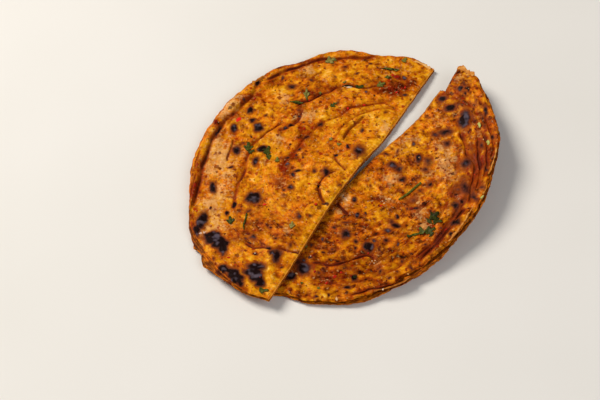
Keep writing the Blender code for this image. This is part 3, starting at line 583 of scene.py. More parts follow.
def paint(half, x, y, theta, share):
    """What colours the crust at each point: how scorched, oily, pale, toasted or folded it is, with painted shade in
    and beside the folds and in the toast zones, and painted highlights on the fold lips, along the left half's cut and
    in some gold zones.
    """
    name = half["name"]
    px, py = wobbled(x, y, 0.8, 2.8, 61)
    px, py = wobbled(px, py, 0.3, 1.2, 63)
    char = np.zeros(x.shape)
    for spot in SPOTS[name]:
        near, q = from_spot(spot, px, py)
        strength = spot[4] if len(spot) > 4 else 1.0
        char[near] = np.maximum(char[near], strength * np.clip(1 - q / 2.2, 0, 1))
    dark, fold_side_shade, painted_lip_highlight = np.zeros(x.shape), np.zeros(x.shape), np.zeros(x.shape)
    wx, wy = wobbled(x, y, 0.5, 5, 31)
    for points, lip, _, width, strength in FOLDS[name]:
        d, t = beside(points, wx, wy)
        ends = smooth(t / 0.12) * smooth((1 - t) / 0.12)
        patchy = 0.85 + 0.5 * noise(x, y, 5, 71)
        # The crease is darkened by oil and browning and by painted shade; beside it, away from the lip, a broad painted
        # shade goes into the toast layer; on the lip's side a painted highlight goes into the gold layer.
        dark = np.maximum(dark, 1.3 * strength * ends * patchy * bell(d, 0, width * 0.95))
        fold_side_shade = np.maximum(fold_side_shade, strength * ends * patchy * bell(d + np.sign(lip) * 1.2, 0, 2.6))
        painted_lip_highlight = np.maximum(painted_lip_highlight, abs(lip) * ends * patchy * bell(d * np.sign(lip), 2.6, 1.6))
    sx, sy = wobbled(x, y, 3.0, 9, 81)
    sx, sy = wobbled(sx, sy, 1.2, 3, 83)
    _, off = from_cut(half, x, y)
    # A painted highlight: a brighter band along the left half's cut, for the edge that catches the light.
    painted_cut_edge_highlight = (0.8 if half is LEFT else 0.0) * bell(off, 2, 4) * (1 + 0.6 * noise(x, y, 8, 85))
    return dict(
        char=char, fold=dark, masala=zone(MASALA[name], sx, sy), pale=zone(PALE[name], sx, sy),
        gold=np.maximum(zone(GOLD_AND_PAINTED_LIGHT[name], sx, sy), np.maximum((0.9 if half is LEFT else 0.6) * painted_lip_highlight, painted_cut_edge_highlight)), toast=np.maximum(zone(TOAST_AND_SHADE[name], sx, sy), 0.75 * fold_side_shade),
        around=theta * share * 100, across=coil_turn(half, theta, share) * 20,
    )


# ---------------------------------------------------------------- making meshes

def deselect():
    if bpy.context.object and bpy.context.object.mode != "OBJECT":
        bpy.ops.object.mode_set(mode="OBJECT")
    bpy.ops.object.select_all(action="DESELECT")


def points_of(piece):
    co = np.empty(len(piece.data.vertices) * 3)
    piece.data.vertices.foreach_get("co", co)
    return co.reshape(-1, 3)


def put_points(piece, co):
    piece.data.vertices.foreach_set("co", np.ascontiguousarray(co, float).ravel())
    piece.data.update()


def apply(piece, kind, **settings):
    modifier = piece.modifiers.new(kind.title(), kind)
    for key, value in settings.items():
        setattr(modifier, key, value)
    deselect()
    piece.select_set(True)
    bpy.context.view_layer.objects.active = piece
    bpy.ops.object.modifier_apply(modifier=modifier.name)


# The edge of the bread, from its underside up: (height as a share of the thickness, how far in from
# the rim, how far in from the cut, whether it belongs to the upper ply).
EDGE = (
    (0.00, 1.20, 0.50, 0), (0.07, 0.35, 0.15, 0), (0.26, 0.00, 0.00, 0), (0.40, 0.25, 0.25, 0),
    (0.47, 0.80, 0.40, 0.15), (0.47, 1.20, 0.15, 0.75), (0.40, 1.90, 0.45, 1), (0.56, 0.95, 0.15, 1),
    (0.72, 0.35, 0.20, 1), (0.89, 0.35, 0.15, 1), (0.97, 0.85, 0.40, 1),
)
ACROSS, DEEP = 384, 192
EDGE_ROUND = 0.75


def crust(half, peek, skirt):
    """One half of the bread: a sheet raised in the steps of its edge, then rolled out to its outline."""
    deselect()
    bpy.ops.mesh.primitive_grid_add(x_subdivisions=ACROSS, y_subdivisions=DEEP, size=2, location=(0, 0, 0))
    piece = bpy.context.object
    piece.name = piece.data.name = half["name"].replace("half", "bread")
    bpy.ops.object.mode_set(mode="EDIT")
    bpy.ops.mesh.select_all(action="SELECT")
    for _ in EDGE[1:]:
        bpy.ops.mesh.extrude_region_move(TRANSFORM_OT_translate={"value": (0, 0, 1)})
    bpy.ops.object.mode_set(mode="OBJECT")

    co = points_of(piece)
    gx, gy, level = co[:, 0], (co[:, 1] + 1) / 2, np.rint(co[:, 2]).astype(int)
    u, v = gx * np.sqrt(1 - gy**2 / 2), gy * np.sqrt(1 - gx**2 / 2)
    share, theta = np.hypot(u, v), np.arctan2(v, u)
    radius = rim_distance(half, theta)
    rise, from_rim, in_cut, upper = (np.array([row[k] for row in EDGE])[level] for k in range(4))
    arc = theta * 105
    wave = 0.30 * noise(arc, level * 3.1, 2.2, 91) + 0.25 * noise(arc, level * 3.1, 6.5, 92)
    back = from_rim + wave + upper * peek(np.degrees(theta), arc) - (1 - upper) * skirt(np.degrees(theta), arc)
    share = share * (1 - back / radius)
    u, v = share * np.cos(theta), share * np.sin(theta)
    length = u * 105
    torn = in_cut + 0.2 + 0.22 * noise(length, level * 5.3, 2.0, 93) + 0.18 * noise(length, level * 5.3, 7, 94)
    v = v * (1 - torn / 105) + np.maximum(torn, 0) / 105
    share, theta = np.hypot(u, v), np.arctan2(v, u)
    x, y = place(half, theta, share)

    base, thick = crust_height(half, x, y, theta, share)
    top = level == len(EDGE) - 1
    inside = np.minimum((1 - np.maximum(abs(gx), gy)) * 100, gy * 105)
    soft = EDGE_ROUND * (1 - smooth(inside / 1.8))
    rise = rise + np.where((level > 1) & (level < 10), 0.05 * noise(arc, level * 1.7, 3.0, 95), 0)
    z = base + np.where(top, thick * 0.985 - soft, thick * rise * 0.985)
    under = level == 0
    z = np.where(under & (inside > 0.4), base, z)
    put_points(piece, np.stack([x, y, z], 1) * MM)

    group = piece.vertex_groups.new(name="underside")
    group.add(np.flatnonzero(under & (inside > 0.4)).tolist(), 1.0, "REPLACE")
    keep = 0.56
    apply(piece, "DECIMATE", ratio=keep, vertex_group="underside", vertex_group_factor=1000.0)
    piece.vertex_groups.clear()

    bpy.ops.object.mode_set(mode="EDIT")
    bpy.ops.mesh.select_all(action="SELECT")
    bpy.ops.mesh.normals_make_consistent(inside=False)
    bpy.ops.object.mode_set(mode="OBJECT")
    bpy.ops.object.shade_smooth()

    co = points_of(piece) / MM
    x, y, z = co.T
    theta, share = polar(half, x, y)
    base, thick = crust_height(half, x, y, theta, share)
    layers = paint(half, x, y, theta, share)
    along, off = from_cut(half, x, y)
    depth = (base + thick - z) / np.maximum(thick, 1)
    at_cut = smooth((1.6 - off) / 1.0) * smooth((depth - 0.10) / 0.15)
    at_rim = smooth((depth - 0.12) / 0.2) * smooth((share - 0.93) / 0.03) * (1 - at_cut)
    layers["crumb"] = at_cut
    layers["edge"] = at_rim
    layers["depth"] = np.clip(depth, 0, 1)
    layers["out"] = share * 105
    for key, values in layers.items():
        attribute = piece.data.attributes.new(key, "FLOAT", "POINT")
        attribute.data.foreach_set("value", values.astype(np.float32))
    return piece


def left_peek(degrees, arc):
    """How far the lower ply shows beyond the upper one on the left half."""
    wide = 0.5 * bell(degrees, 150, 14) + 0.6 * bell(degrees, 35, 14) - 1.0 * bell(degrees, 112, 28)
    return wide + 0.25 + 0.4 * noise(arc, arc * 0, 4, 101)


def left_skirt(degrees, arc):
    """How far the lower ply stands out beyond the outline on the left half."""
    return np.clip(3.6 * bell(degrees, 153, 10) * (1 + 0.5 * noise(arc, arc * 0, 5, 105)), 0, None)


def right_skirt(degrees, arc):
    return np.clip(0.9 * bell(degrees, 95, 20) * (1 + 0.7 * noise(arc, arc * 0, 5, 106)), 0, None)


def right_peek(degrees, arc):
    wide = 2.4 * bell(degrees, 120, 22) + 1.4 * bell(degrees, 60, 14) + 1.0 * bell(degrees, 20, 10)
    return wide * (1 + 0.6 * noise(arc, arc * 0, 9, 104)) + 0.4 + 0.5 * noise(arc, arc * 0, 4, 102)


# ---------------------------------------------------------------- materials

def srgb(code):
    """A colour written as sRGB hex, as the linear values that a shader takes."""
    parts = [int(code[i:i + 2], 16) / 255 for i in (0, 2, 4)]
    return (*[p / 12.92 if p <= 0.04045 else ((p + 0.055) / 1.055) ** 2.4 for p in parts], 1.0)


def add(tree, kind, inputs=None, **settings):
    """Adds a node with its settings. An input is given a value, or the output that it is linked to."""
    made = tree.nodes.new(kind)
    for key, value in settings.items():
        if key == "stops":
            ramp = made.color_ramp
            while len(ramp.elements) < len(value):
                ramp.elements.new(1.0)
            for element, (position, colour) in zip(ramp.elements, value):
                element.position = position
                element.color = colour if not isinstance(colour, (int, float)) else (colour,) * 3 + (1,)
        else:
            setattr(made, key, value)
    for key, value in (inputs or {}).items():
        if isinstance(value, bpy.types.NodeSocket):
            tree.links.new(value, made.inputs[key])
        else:
            made.inputs[key].default_value = value
    return made


def new_material(name):
    material = bpy.data.materials.new(name)
    material.use_nodes = True
    tree = material.node_tree
    shader = tree.nodes["Principled BSDF"]
    where = add(tree, "ShaderNodeTexCoord").outputs["Object"]
    return material, tree, shader, where


# Wheat dough baked in oil, from scorched brown to the palest gold: more turmeric in it, or more chilli.
YELLOWED = ("240A00", "501C00", "7C3A00", "A05802", "BE7404", "D48C0A", "E6A41E", "F4C058")
REDDENED = ("240600", "501400", "7C2A02", "A04204", "BE5A06", "D4700C", "E6881E", "F4AA54")


def crust_material(name, level, patchy, pale, red, dots):
    """Griddled wheat dough, rolled thin in layers and brushed with spiced oil: it looks mottled from
    golden to orange, freckled with ground chilli and pepper, and darkens through brown to a matt
    purple-black where it was scorched, with an oily gloss in its folds."""
    material, tree, shader, where = new_material(name)

    def read(layer):
        return add(tree, "ShaderNodeAttribute", attribute_name=layer).outputs["Fac"]

    def grain(size, detail=2.0, rough=0.55, source=where):
        """Noise that changes over this many millimetres."""
        return add(tree, "ShaderNodeTexNoise", {"Vector": source, "Scale": 1 / (size * MM), "Detail": detail,
                                                "Roughness": rough}).outputs["Fac"]

    def sums(a, b, kind="ADD", clamp=False):
        return add(tree, "ShaderNodeMath", {0: a, 1: b}, operation=kind, use_clamp=clamp).outputs[0]

    def between(value, low, high, to_low=0.0, to_high=1.0):
        """value from low to high, as 0 to 1, softly."""
        return add(tree, "ShaderNodeMapRange", {"Value": value, "From Min": low, "From Max": high, "To Min": to_low,
                                                "To Max": to_high}, interpolation_type="SMOOTHSTEP").outputs[0]

    def over(below, above, share):
        return add(tree, "ShaderNodeMix", {0: share, 6: below, 7: above}, data_type="RGBA").outputs[2]

    def uneven(layer, size, amount):
        """A layer with its outline broken up by noise."""
        return sums(read(layer), sums(sums(grain(size), -0.5), amount, "MULTIPLY"))

    char, pale_at, masala_at = read("char"), read("pale"), read("masala")
    stretched = add(tree, "ShaderNodeCombineXYZ", {0: sums(read("around"), 0.0011 / 8, "MULTIPLY"),
                                                   1: sums(read("across"), 0.001, "MULTIPLY")}).outputs[0]
    streak = grain(1.5, 2.0, 0.6, stretched)

    def swing(value, amount):
        """A noise value as a swing of this size about zero."""
        return sums(sums(value, -0.5), amount, "MULTIPLY")

    # How far the dough has baked, from pale gold down to dark red-brown, in one scale of brightness;
    # the gold layer also raises it with painted highlights, and the toast layer lowers it with painted shade.
    bright = sums(sums(level, sums(read("gold"), 0.15, "MULTIPLY")),
                  sums(swing(grain(12, 2), 0.4), swing(grain(4.4, 2), patchy)))
    bright = sums(bright, sums(swing(grain(2.0, 2), 0.4), swing(streak, 0.5)))
    specked = sums(between(grain(11, 2), 0.42, 0.60), between(grain(3.2, 3), 0.53, 0.64), "MULTIPLY")
    bright = sums(bright, sums(specked, 0.20, "MULTIPLY"), "SUBTRACT")
    browned_and_shaded = between(sums(read("toast"), swing(grain(4.5, 3), 1.3)), 0.10, 0.95)
    bright = sums(bright, sums(browned_and_shaded, 0.27, "MULTIPLY"), "SUBTRACT")
    oiled = between(sums(masala_at, sums(swing(streak, 1.6), swing(grain(2.2, 3), 1.4))), 0.25, 0.95)
    bright = sums(bright, sums(oiled, 0.26, "MULTIPLY"), "SUBTRACT")
    bright = sums(bright, sums(between(streak, 0.58, 0.72), 0.20, "MULTIPLY"), "SUBTRACT")
    flecks = sums(between(sums(grain(2.2, 2), sums(masala_at, 0.07, "MULTIPLY")), 0.615, 0.675),
                  sums(between(grain(9, 2), 0.42, 0.58), masala_at, "MAXIMUM"), "MULTIPLY")
    yellowed, reddened = (add(tree, "ShaderNodeValToRGB", {"Fac": bright}, stops=[
        (k / (len(tones) - 1), srgb(tone)) for k, tone in enumerate(tones)]).outputs["Color"]
        for tones in (YELLOWED, REDDENED))
    warmth = sums(sums(swing(grain(9, 2), 2.2), swing(grain(3, 2), 2.4)), sums(read("gold"), 0.35, "MULTIPLY"),
                  "SUBTRACT")
    colour = over(yellowed, reddened, between(warmth, -0.65, 0.65))
    redder = between(sums(masala_at, sums(swing(grain(5, 2), 1.6), swing(grain(1.4, 2), 1.8))), 0.6, 1.4)
    colour = over(colour, srgb(red), sums(redder, 0.6, "MULTIPLY"))
    # Dry skin of flour: pale tan, broken up finely.
    dry = between(sums(pale_at, sums(swing(grain(1.8, 3), 2.2), swing(grain(5, 2), 1.6))), 0.28, 0.95)
    colour = over(colour, add(tree, "ShaderNodeValToRGB", {"Fac": grain(2.6)}, stops=[
        (0.35, srgb(pale[0])), (0.65, srgb(pale[1]))]).outputs["Color"], sums(dry, 0.66, "MULTIPLY"))

    colour = over(colour, srgb("6E2406"), sums(flecks, 0.65, "MULTIPLY", True))
    # Painted glints: tiny pale peach specks, more of them on pale dough, stand in for small oily highlights.
    colour = over(colour, srgb("F4C284"), sums(between(sums(grain(1.6, 2), sums(pale_at, 0.08, "MULTIPLY")), 0.62, 0.71), 0.3, "MULTIPLY"))

    # Ground chilli and pepper in the dough: each cell of the pattern may hold one dot.
    strayed = add(tree, "ShaderNodeTexNoise", {"Vector": where, "Scale": 1 / (1.3 * MM), "Detail": 1.0}).outputs["Color"]
    strayed = add(tree, "ShaderNodeVectorMath", {0: strayed, 1: (1.8 * MM,) * 3, 2: where}, operation="MULTIPLY_ADD")
    for size, radius, some, tint, share in dots:
        cells = add(tree, "ShaderNodeTexVoronoi", {"Vector": strayed.outputs[0], "Scale": 1 / (size * MM),
                                                   "Randomness": 1.0})
        pick = add(tree, "ShaderNodeSeparateColor", {0: cells.outputs["Color"]})
        limit = between(sums(pick.outputs[0], sums(masala_at, 0.25, "MULTIPLY")), 1 - some, 1.12 - some, 0, radius)
        dot = between(sums(limit, sums(cells.outputs["Distance"], sums(sums(grain(0.9), -0.5), 0.12, "MULTIPLY")),
                           "SUBTRACT"), -0.01, 0.09)
        shade = over(srgb(tint[0]), srgb(tint[1]), pick.outputs[1])
        colour = over(colour, shade, sums(dot, share, "MULTIPLY"))

    # Folds: brown-black in the crease, dark red towards its sides: oil and browning, and painted shade in the crease.
    fold = uneven("fold", 2.2, 0.9)
    colour = over(colour, srgb("8A2C06"), sums(between(fold, 0.12, 0.65), 0.72, "MULTIPLY"))
    colour = over(colour, srgb("44120A"), sums(between(fold, 0.55, 1.1), 0.8, "MULTIPLY"))

    # Scorching: a brown halo, then purple-brown, then a black core; the grey-blue patches on the core are a painted
    # sheen, standing in for the light reflected by its oily gloss.
    scorch = sums(char, sums(sums(grain(1.3, 3), -0.5), 0.24, "MULTIPLY"))
    colour = over(colour, srgb("8A3C08"), sums(between(scorch, 0.14, 0.44), 0.72, "MULTIPLY"))
    colour = over(colour, srgb("4A221A"), sums(between(scorch, 0.36, 0.66), 0.88, "MULTIPLY"))
    char_with_painted_sheen = over(srgb("0A0406"), srgb("544A54"), between(grain(4.6, 1), 0.50, 0.72))
    colour = over(colour, char_with_painted_sheen, sums(between(scorch, 0.58, 0.80), 0.94, "MULTIPLY"))
    floury = between(sums(pale_at, swing(grain(1.6, 3), 1.6)), 1.05, 1.6)
    colour = over(colour, srgb("E0C2AC"), sums(floury, 0.85, "MULTIPLY"))

    # The edge: dough that was inside is cream, with painted shade darkening the lower part of the cut; the rims of the
    # plies are brown, and the gap where they part is painted dark as painted shade.
    cut_dough_with_shade = over(srgb("A8641C"), srgb("D08A36"), grain(2.2, 2))
    cut_dough_with_shade = over(cut_dough_with_shade, srgb("A4561A"), between(sums(read("depth"), swing(grain(2.6, 2), 0.3)), 0.34, 0.60))
    ply = grain(1.0, 2, 0.6, add(tree, "ShaderNodeCombineXYZ", {
        0: sums(read("around"), 0.00018, "MULTIPLY"), 1: sums(read("depth"), 0.0040, "MULTIPLY"),
        2: sums(read("out"), 0.0012, "MULTIPLY")}).outputs[0])
    plies = over(srgb("6A1E02"), srgb("D8760C"), between(sums(ply, swing(grain(1.2), 0.25)), 0.38, 0.60))
    colour = over(colour, plies, sums(between(sums(read("edge"), swing(grain(2.5), 1.2)), 0.2, 0.9), 0.8, "MULTIPLY"))
    ply_gap_shade = between(sums(sums(sums(read("depth"), 0.56, "SUBTRACT"), 0, "ABSOLUTE"), swing(grain(3), 0.2)), 0.09, 0.0)
    painted_gap_shade = sums(sums(read("edge"), read("crumb")), ply_gap_shade, "MULTIPLY")
    colour = over(colour, cut_dough_with_shade, sums(between(sums(read("crumb"), sums(sums(grain(2.0), -0.5), 0.5, "MULTIPLY")),
                                              0.2, 0.8), 0.9, "MULTIPLY"))
    colour = over(colour, srgb("2A0E04"), sums(painted_gap_shade, 0.7, "MULTIPLY"))
    tree.links.new(colour, shader.inputs["Base Color"])

    rough = sums(sums(0.46, sums(oiled, 0.16, "MULTIPLY"), "SUBTRACT"),
                 sums(sums(grain(2.1, 3), -0.5), 0.35, "MULTIPLY"))
    rough = sums(rough, sums(between(scorch, 0.4, 0.7), 0.06, "MULTIPLY"), clamp=True)
    tree.links.new(rough, shader.inputs["Roughness"])
    shader.inputs["IOR"].default_value = 1.45
    shader.inputs["Specular IOR Level"].default_value = 0.04

    bumps = sums(sums(grain(0.9, 3, 0.6), sums(grain(2.4, 2), 1.2, "MULTIPLY")), sums(streak, 0.7, "MULTIPLY"))
    bump = add(tree, "ShaderNodeBump", {"Height": bumps, "Strength": 0.55, "Distance": 0.00035})
    tree.links.new(bump.outputs["Normal"], shader.inputs["Normal"])
    return material


# (cell size in mm, largest radius as a share of the cell, share of cells with a dot, tints, opacity)
LEFT_DOTS = (
    (2.7, 0.34, 0.20, ("922E04", "6A2002"), 0.75),
    (4.6, 0.30, 0.34, ("982404", "541404"), 0.85),
    (8.0, 0.24, 0.34, ("722404", "461808"), 0.8),
)
RIGHT_DOTS = (
    (2.7, 0.34, 0.22, ("802202", "501402"), 0.8),
    (4.6, 0.30, 0.30, ("881C02", "380C04"), 0.85),
    (8.0, 0.26, 0.34, ("621E06", "341008"), 0.75),
)


# ---------------------------------------------------------------- stage

def floor():
    deselect()
    bpy.ops.mesh.primitive_plane_add(size=6, location=(0, 0, -0.0002))
    plane = bpy.context.object
    plane.name = "pale_floor"
    material, tree, shader, where = new_material("matt_painted_table")
    tint = add(tree, "ShaderNodeValToRGB", {"Fac": add(tree, "ShaderNodeTexNoise", {
        "Vector": where, "Scale": 6.0, "Detail": 2.0}).outputs["Fac"]},
        stops=[(0.3, srgb("D9D6D0")), (0.7, srgb("DDDAD5"))])
    tree.links.new(tint.outputs["Color"], shader.inputs["Base Color"])
    shader.inputs["Roughness"].default_value = 0.75
    plane.data.materials.append(material)


def lamp(name, at, aim, size, power, tint):
    light = bpy.data.lights.new(name, "AREA")
    light.shape, light.size, light.energy, light.color = "DISK", size, power, srgb(tint)[:3]
    lamp_object = bpy.data.objects.new(name, light)
    bpy.context.scene.collection.objects.link(lamp_object)
    lamp_object.location = at
    lamp_object.rotation_euler = (Vector(aim) - Vector(at)).to_track_quat("-Z", "Y").to_euler()


AIM = Vector((-0.0288, -0.0227, 0.0))
ELEVATION, DISTANCE, LENS = math.radians(55.5), 0.7379, 70


def stage():
    floor()
    world = bpy.data.worlds.new("studio")
    bpy.context.scene.world = world
    world.use_nodes = True
    world.node_tree.nodes["Background"].inputs["Color"].default_value = srgb("F1EFEC")
    world.node_tree.nodes["Background"].inputs["Strength"].default_value = 0.24
    lamp("key", (-1.19, 0.61, 1.43), (0, 0, 0), 0.93, 42.0, "FFFAF2")
    lamp("fill", (0.70, -0.75, 0.90), (0, 0, 0), 1.1, 6.5, "F7F9FF")
    camera = bpy.data.cameras.new("camera")
    camera.lens, camera.sensor_width = LENS, 36
    camera.clip_start, camera.clip_end = 0.01, 20
    viewer = bpy.data.objects.new("camera", camera)
    bpy.context.scene.collection.objects.link(viewer)
    back = Vector((0, -math.cos(ELEVATION), math.sin(ELEVATION)))
    viewer.location = AIM + back * DISTANCE
    viewer.rotation_euler = (math.pi / 2 - ELEVATION, 0, 0)
    bpy.context.scene.camera = viewer
    bpy.context.scene.view_settings.view_transform = "Standard"


# ---------------------------------------------------------------- herbs, chilli, pepper and crumbs

def modelled(name):
    """The primitive that was just added, under its name, and its points."""
    piece = bpy.context.object
    piece.name = piece.data.name = name
    return piece, points_of(piece)


def edit(*steps):
    """Steps of edit mode on the whole of the active piece: (operator, its settings)."""
    bpy.ops.object.mode_set(mode="EDIT")
    bpy.ops.mesh.select_all(action="SELECT")
    for operator, settings in steps:
        operator(**settings)
    bpy.ops.object.mode_set(mode="OBJECT")


def leaf_model(name, lobes, seed):
    """A piece of a coriander leaf, 2 across, its lobes given as (degrees round, length, width in degrees)."""
    deselect()
    bpy.ops.mesh.primitive_circle_add(vertices=40, radius=1, fill_type="NGON", location=(0, 0, 0))
    edit((bpy.ops.mesh.inset, {"thickness": 0.28}), (bpy.ops.mesh.inset, {"thickness": 0.26}),
         (bpy.ops.mesh.poke, {}))
    piece, co = modelled(name)
    around = np.degrees(np.arctan2(co[:, 1], co[:, 0]))
    out = 0.44 + 0.06 * np.abs(np.sin(np.radians(around) * 9 + seed))
    for middle, length, width in lobes:
        away = (around - middle + 180) % 360 - 180
        out = np.maximum(out, length * (bell(away, 0, width * 1.3) + 0.05 * np.abs(np.sin(np.radians(away) * 14))))
    co[:, 0] *= out
    co[:, 1] *= out
    co[:, 2] = 0.42 + 0.45 * noise(co[:, 0], co[:, 1], 0.55, 200 + seed) + 0.25 * np.hypot(co[:, 0], co[:, 1])
    put_points(piece, co)
    apply(piece, "SOLIDIFY", thickness=0.22, offset=0)
    bpy.ops.object.shade_smooth()
    return piece


def flake_model(name, seed):
    """A flake of dried chilli: a flat, bent chip with blunt edges."""
    deselect()
    bpy.ops.mesh.primitive_cylinder_add(vertices=7, radius=1, depth=1, location=(0, 0, 0))
    edit((bpy.ops.mesh.bevel, {"offset": 0.22, "segments": 1}))
    piece, co = modelled(name)
    rng = np.random.default_rng(seed)
    co[:, :2] *= 1 + 0.30 * noise(co[:, 0], co[:, 1], 0.7, seed)[:, None]
    co[:, 2] += 0.3 + 0.5 * noise(co[:, 0], co[:, 1], 1.1, seed + 1) + rng.uniform(-0.06, 0.06, len(co))
    put_points(piece, co)
    bpy.ops.object.shade_smooth()
    return piece


def grain_model(name, finer, uneven, seed):
    """A cracked grain or a crumb, 2 across, uneven all round."""
    deselect()
    bpy.ops.mesh.primitive_ico_sphere_add(subdivisions=finer, radius=1, location=(0, 0, 0))
    piece, co = modelled(name)
    rng = np.random.default_rng(seed)
    co *= 1 + uneven * rng.uniform(-1, 1, len(co))[:, None]
    co[:, 2] = co[:, 2] * 0.8 + 0.35
    put_points(piece, co)
    bpy.ops.object.shade_smooth()
    return piece


def surface(co, right):
    """Height of the crust under these plan positions, on the half that each belongs to."""
    z = np.zeros(len(co))
    for half, on in ((LEFT, right < 0.5), (RIGHT, right >= 0.5)):
        if on.any():
            x, y = co[on, 0], co[on, 1]
            theta, share = polar(half, x, y)
            base, thick = crust_height(half, x, y, theta, share)
            z[on] = base + thick * 0.985
    return z


def lay(name, pieces, material):
    """Joins these pieces, which stand on a flat z = 0 in millimetres, and lays them down on the crust."""
    deselect()
    for piece in pieces:
        piece.select_set(True)
    bpy.context.view_layer.objects.active = pieces[0]
    bpy.ops.object.join()
    piece = bpy.context.object
    piece.name = piece.data.name = name
    co = points_of(piece)
    right = np.empty(len(co), np.float32)
    piece.data.attributes["right"].data.foreach_get("value", right)
    co[:, 2] += surface(co, right)
    put_points(piece, co * MM)
    piece.data.attributes.remove(piece.data.attributes["right"])
    edit((bpy.ops.mesh.normals_make_consistent, {"inside": False}))
    piece.data.materials.clear()
    piece.data.materials.append(material)
    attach(piece, BODY)
    return piece


def mark(piece, right, tone):
    for key, value in (("right", right), ("tone", tone)):
        attribute = piece.data.attributes.new(key, "FLOAT", "POINT")
        attribute.data.foreach_set("value", np.full(len(piece.data.vertices), value, np.float32))


def copy_to(model, half, x, y, length, width, height, turn, tone):
    """A copy of a model with its own mesh, at this place, of this size, turned by this many degrees."""
    piece = model.copy()
    piece.data = model.data.copy()
    bpy.context.scene.collection.objects.link(piece)
    piece.data.transform(Matrix.Translation((x, y, 0)) @ Matrix.Rotation(math.radians(turn), 4, "Z")
                         @ Matrix.Diagonal((length / 2, width / 2, height, 1)))
    mark(piece, float(half is RIGHT), tone)
    return piece


def discard(*models):
    for model in models:
        bpy.data.objects.remove(model)


# A leaf: (half, x, y, length, width, turn, tone, model). Tone 0 is dark, 0.5 green, 1 faded.
LEAVES = (
    (LEFT, -72, -42, 7, 5, 95, 0.35, 0), (LEFT, -51.2, -94, 6.5, 4.5, 0, 0.5, 1), (LEFT, -34, -49, 6.4, 3.6, 80, 1.0, 0),
    (LEFT, -62.5, 15.5, 8, 6, 85, 0.45, 0), (LEFT, -60.8, 12, 5, 4, 20, 0.3, 1),
    (LEFT, -50, 12, 8.5, 5, 70, 0.45, 1), (LEFT, -49, 8, 5.5, 3.5, 100, 0.5, 0), (LEFT, -51.5, 14, 4, 3, 10, 0.2, 2),
    (LEFT, -43.5, 5.5, 4.6, 3.4, 80, 0.75, 1), (LEFT, -31, 54, 9, 4.2, -5, 0.25, 2),
    (LEFT, -24.5, 60, 9, 4, 88, 0.95, 0), (LEFT, -9, 89.5, 9, 6, 25, 0.95, 0), (LEFT, -6, 90.3, 4, 3, -20, 0.7, 1),
    (LEFT, 32, 82.6, 10, 3.8, -6, 0.1, 2), (LEFT, 36.5, 81.7, 4, 2.6, 10, 0.8, 1),
    (LEFT, 30, 75.5, 5, 3, 5, 0.6, 0), (LEFT, 42.5, 90.3, 5, 4, 50, 0.8, 1), (LEFT, 25, 69, 7, 4.8, 20, 0.7, 0),
    (LEFT, 3, 67.8, 7, 3, -4, 0.1, 2), (LEFT, 10.5, 66.5, 6.5, 4.5, 10, 0.35, 1), (LEFT, -7.5, 51, 4.6, 4, 40, 0.5, 0),
    (LEFT, -6, 52.5, 3, 2.4, 0, 0.6, 1), (LEFT, -4, 16, 3.6, 2.6, 10, 0.85, 1), (LEFT, -9, 21, 3.4, 2.6, 60, 0.9, 0),
    (LEFT, 1, 71, 3, 2, 30, 0.7, 1), (LEFT, -15.5, 62, 2.6, 2, 0, 0.8, 0),
    (RIGHT, 53.5, -41, 8.5, 7, 40, 0.2, 0), (RIGHT, 55, -44.5, 6.5, 5.5, -30, 0.3, 1), (RIGHT, 51, -44, 5, 4, 130, 0.35, 2),
    (RIGHT, 50, -51, 7.5, 6.5, 15, 0.4, 0), (RIGHT, 46, -51, 6.5, 5, 100, 0.5, 1), (RIGHT, 51.5, -54, 4, 3, 40, 0.25, 2),
    (RIGHT, 41.5, -52.5, 7, 3, 12, 0.45, 2), (RIGHT, 37.8, -53.6, 3.6, 2.2, 0, 0.3, 1),
    (RIGHT, -28, -86, 2, 1.8, 0, 0.5, 1), (RIGHT, -25.5, -60, 3.2, 2.4, 60, 0.8, 0), (RIGHT, 4, -82, 3, 2.6, 20, 0.05, 1),
    (RIGHT, -18, -90, 2.6, 2, 30, 0.7, 0),
)
# A stem or a sliver: (half, points, thickness, tone).
STEMS = (
    (RIGHT, ((47.5, -14.6), (44, -17.2), (40.5, -20.4), (37, -23.3), (33, -26)), 1.6, 0.35),
    (LEFT, ((-62, -36.5), (-62.6, -41), (-63.6, -45), (-63.3, -49.5)), 1.1, 0.1),
    (RIGHT, ((86.2, 25.4), (86.6, 23.4), (86.5, 21.6)), 1.7, 1.0), (RIGHT, ((90.2, 10.2), (90.8, 8.4), (90.4, 6.9)), 1.7, 0.9),
    (RIGHT, ((82.4, -33.5), (83.6, -32), (84.2, -31.4)), 1.3, 1.0), (LEFT, ((-24, 56), (-24.8, 60), (-24.2, 64)), 1.1, 0.3),
    (LEFT, ((-27, 53), (-31, 54.6), (-35, 54)), 1.0, 0.3), (LEFT, ((28.5, 83.5), (32, 82.5), (37, 82)), 0.9, 0.4),
)
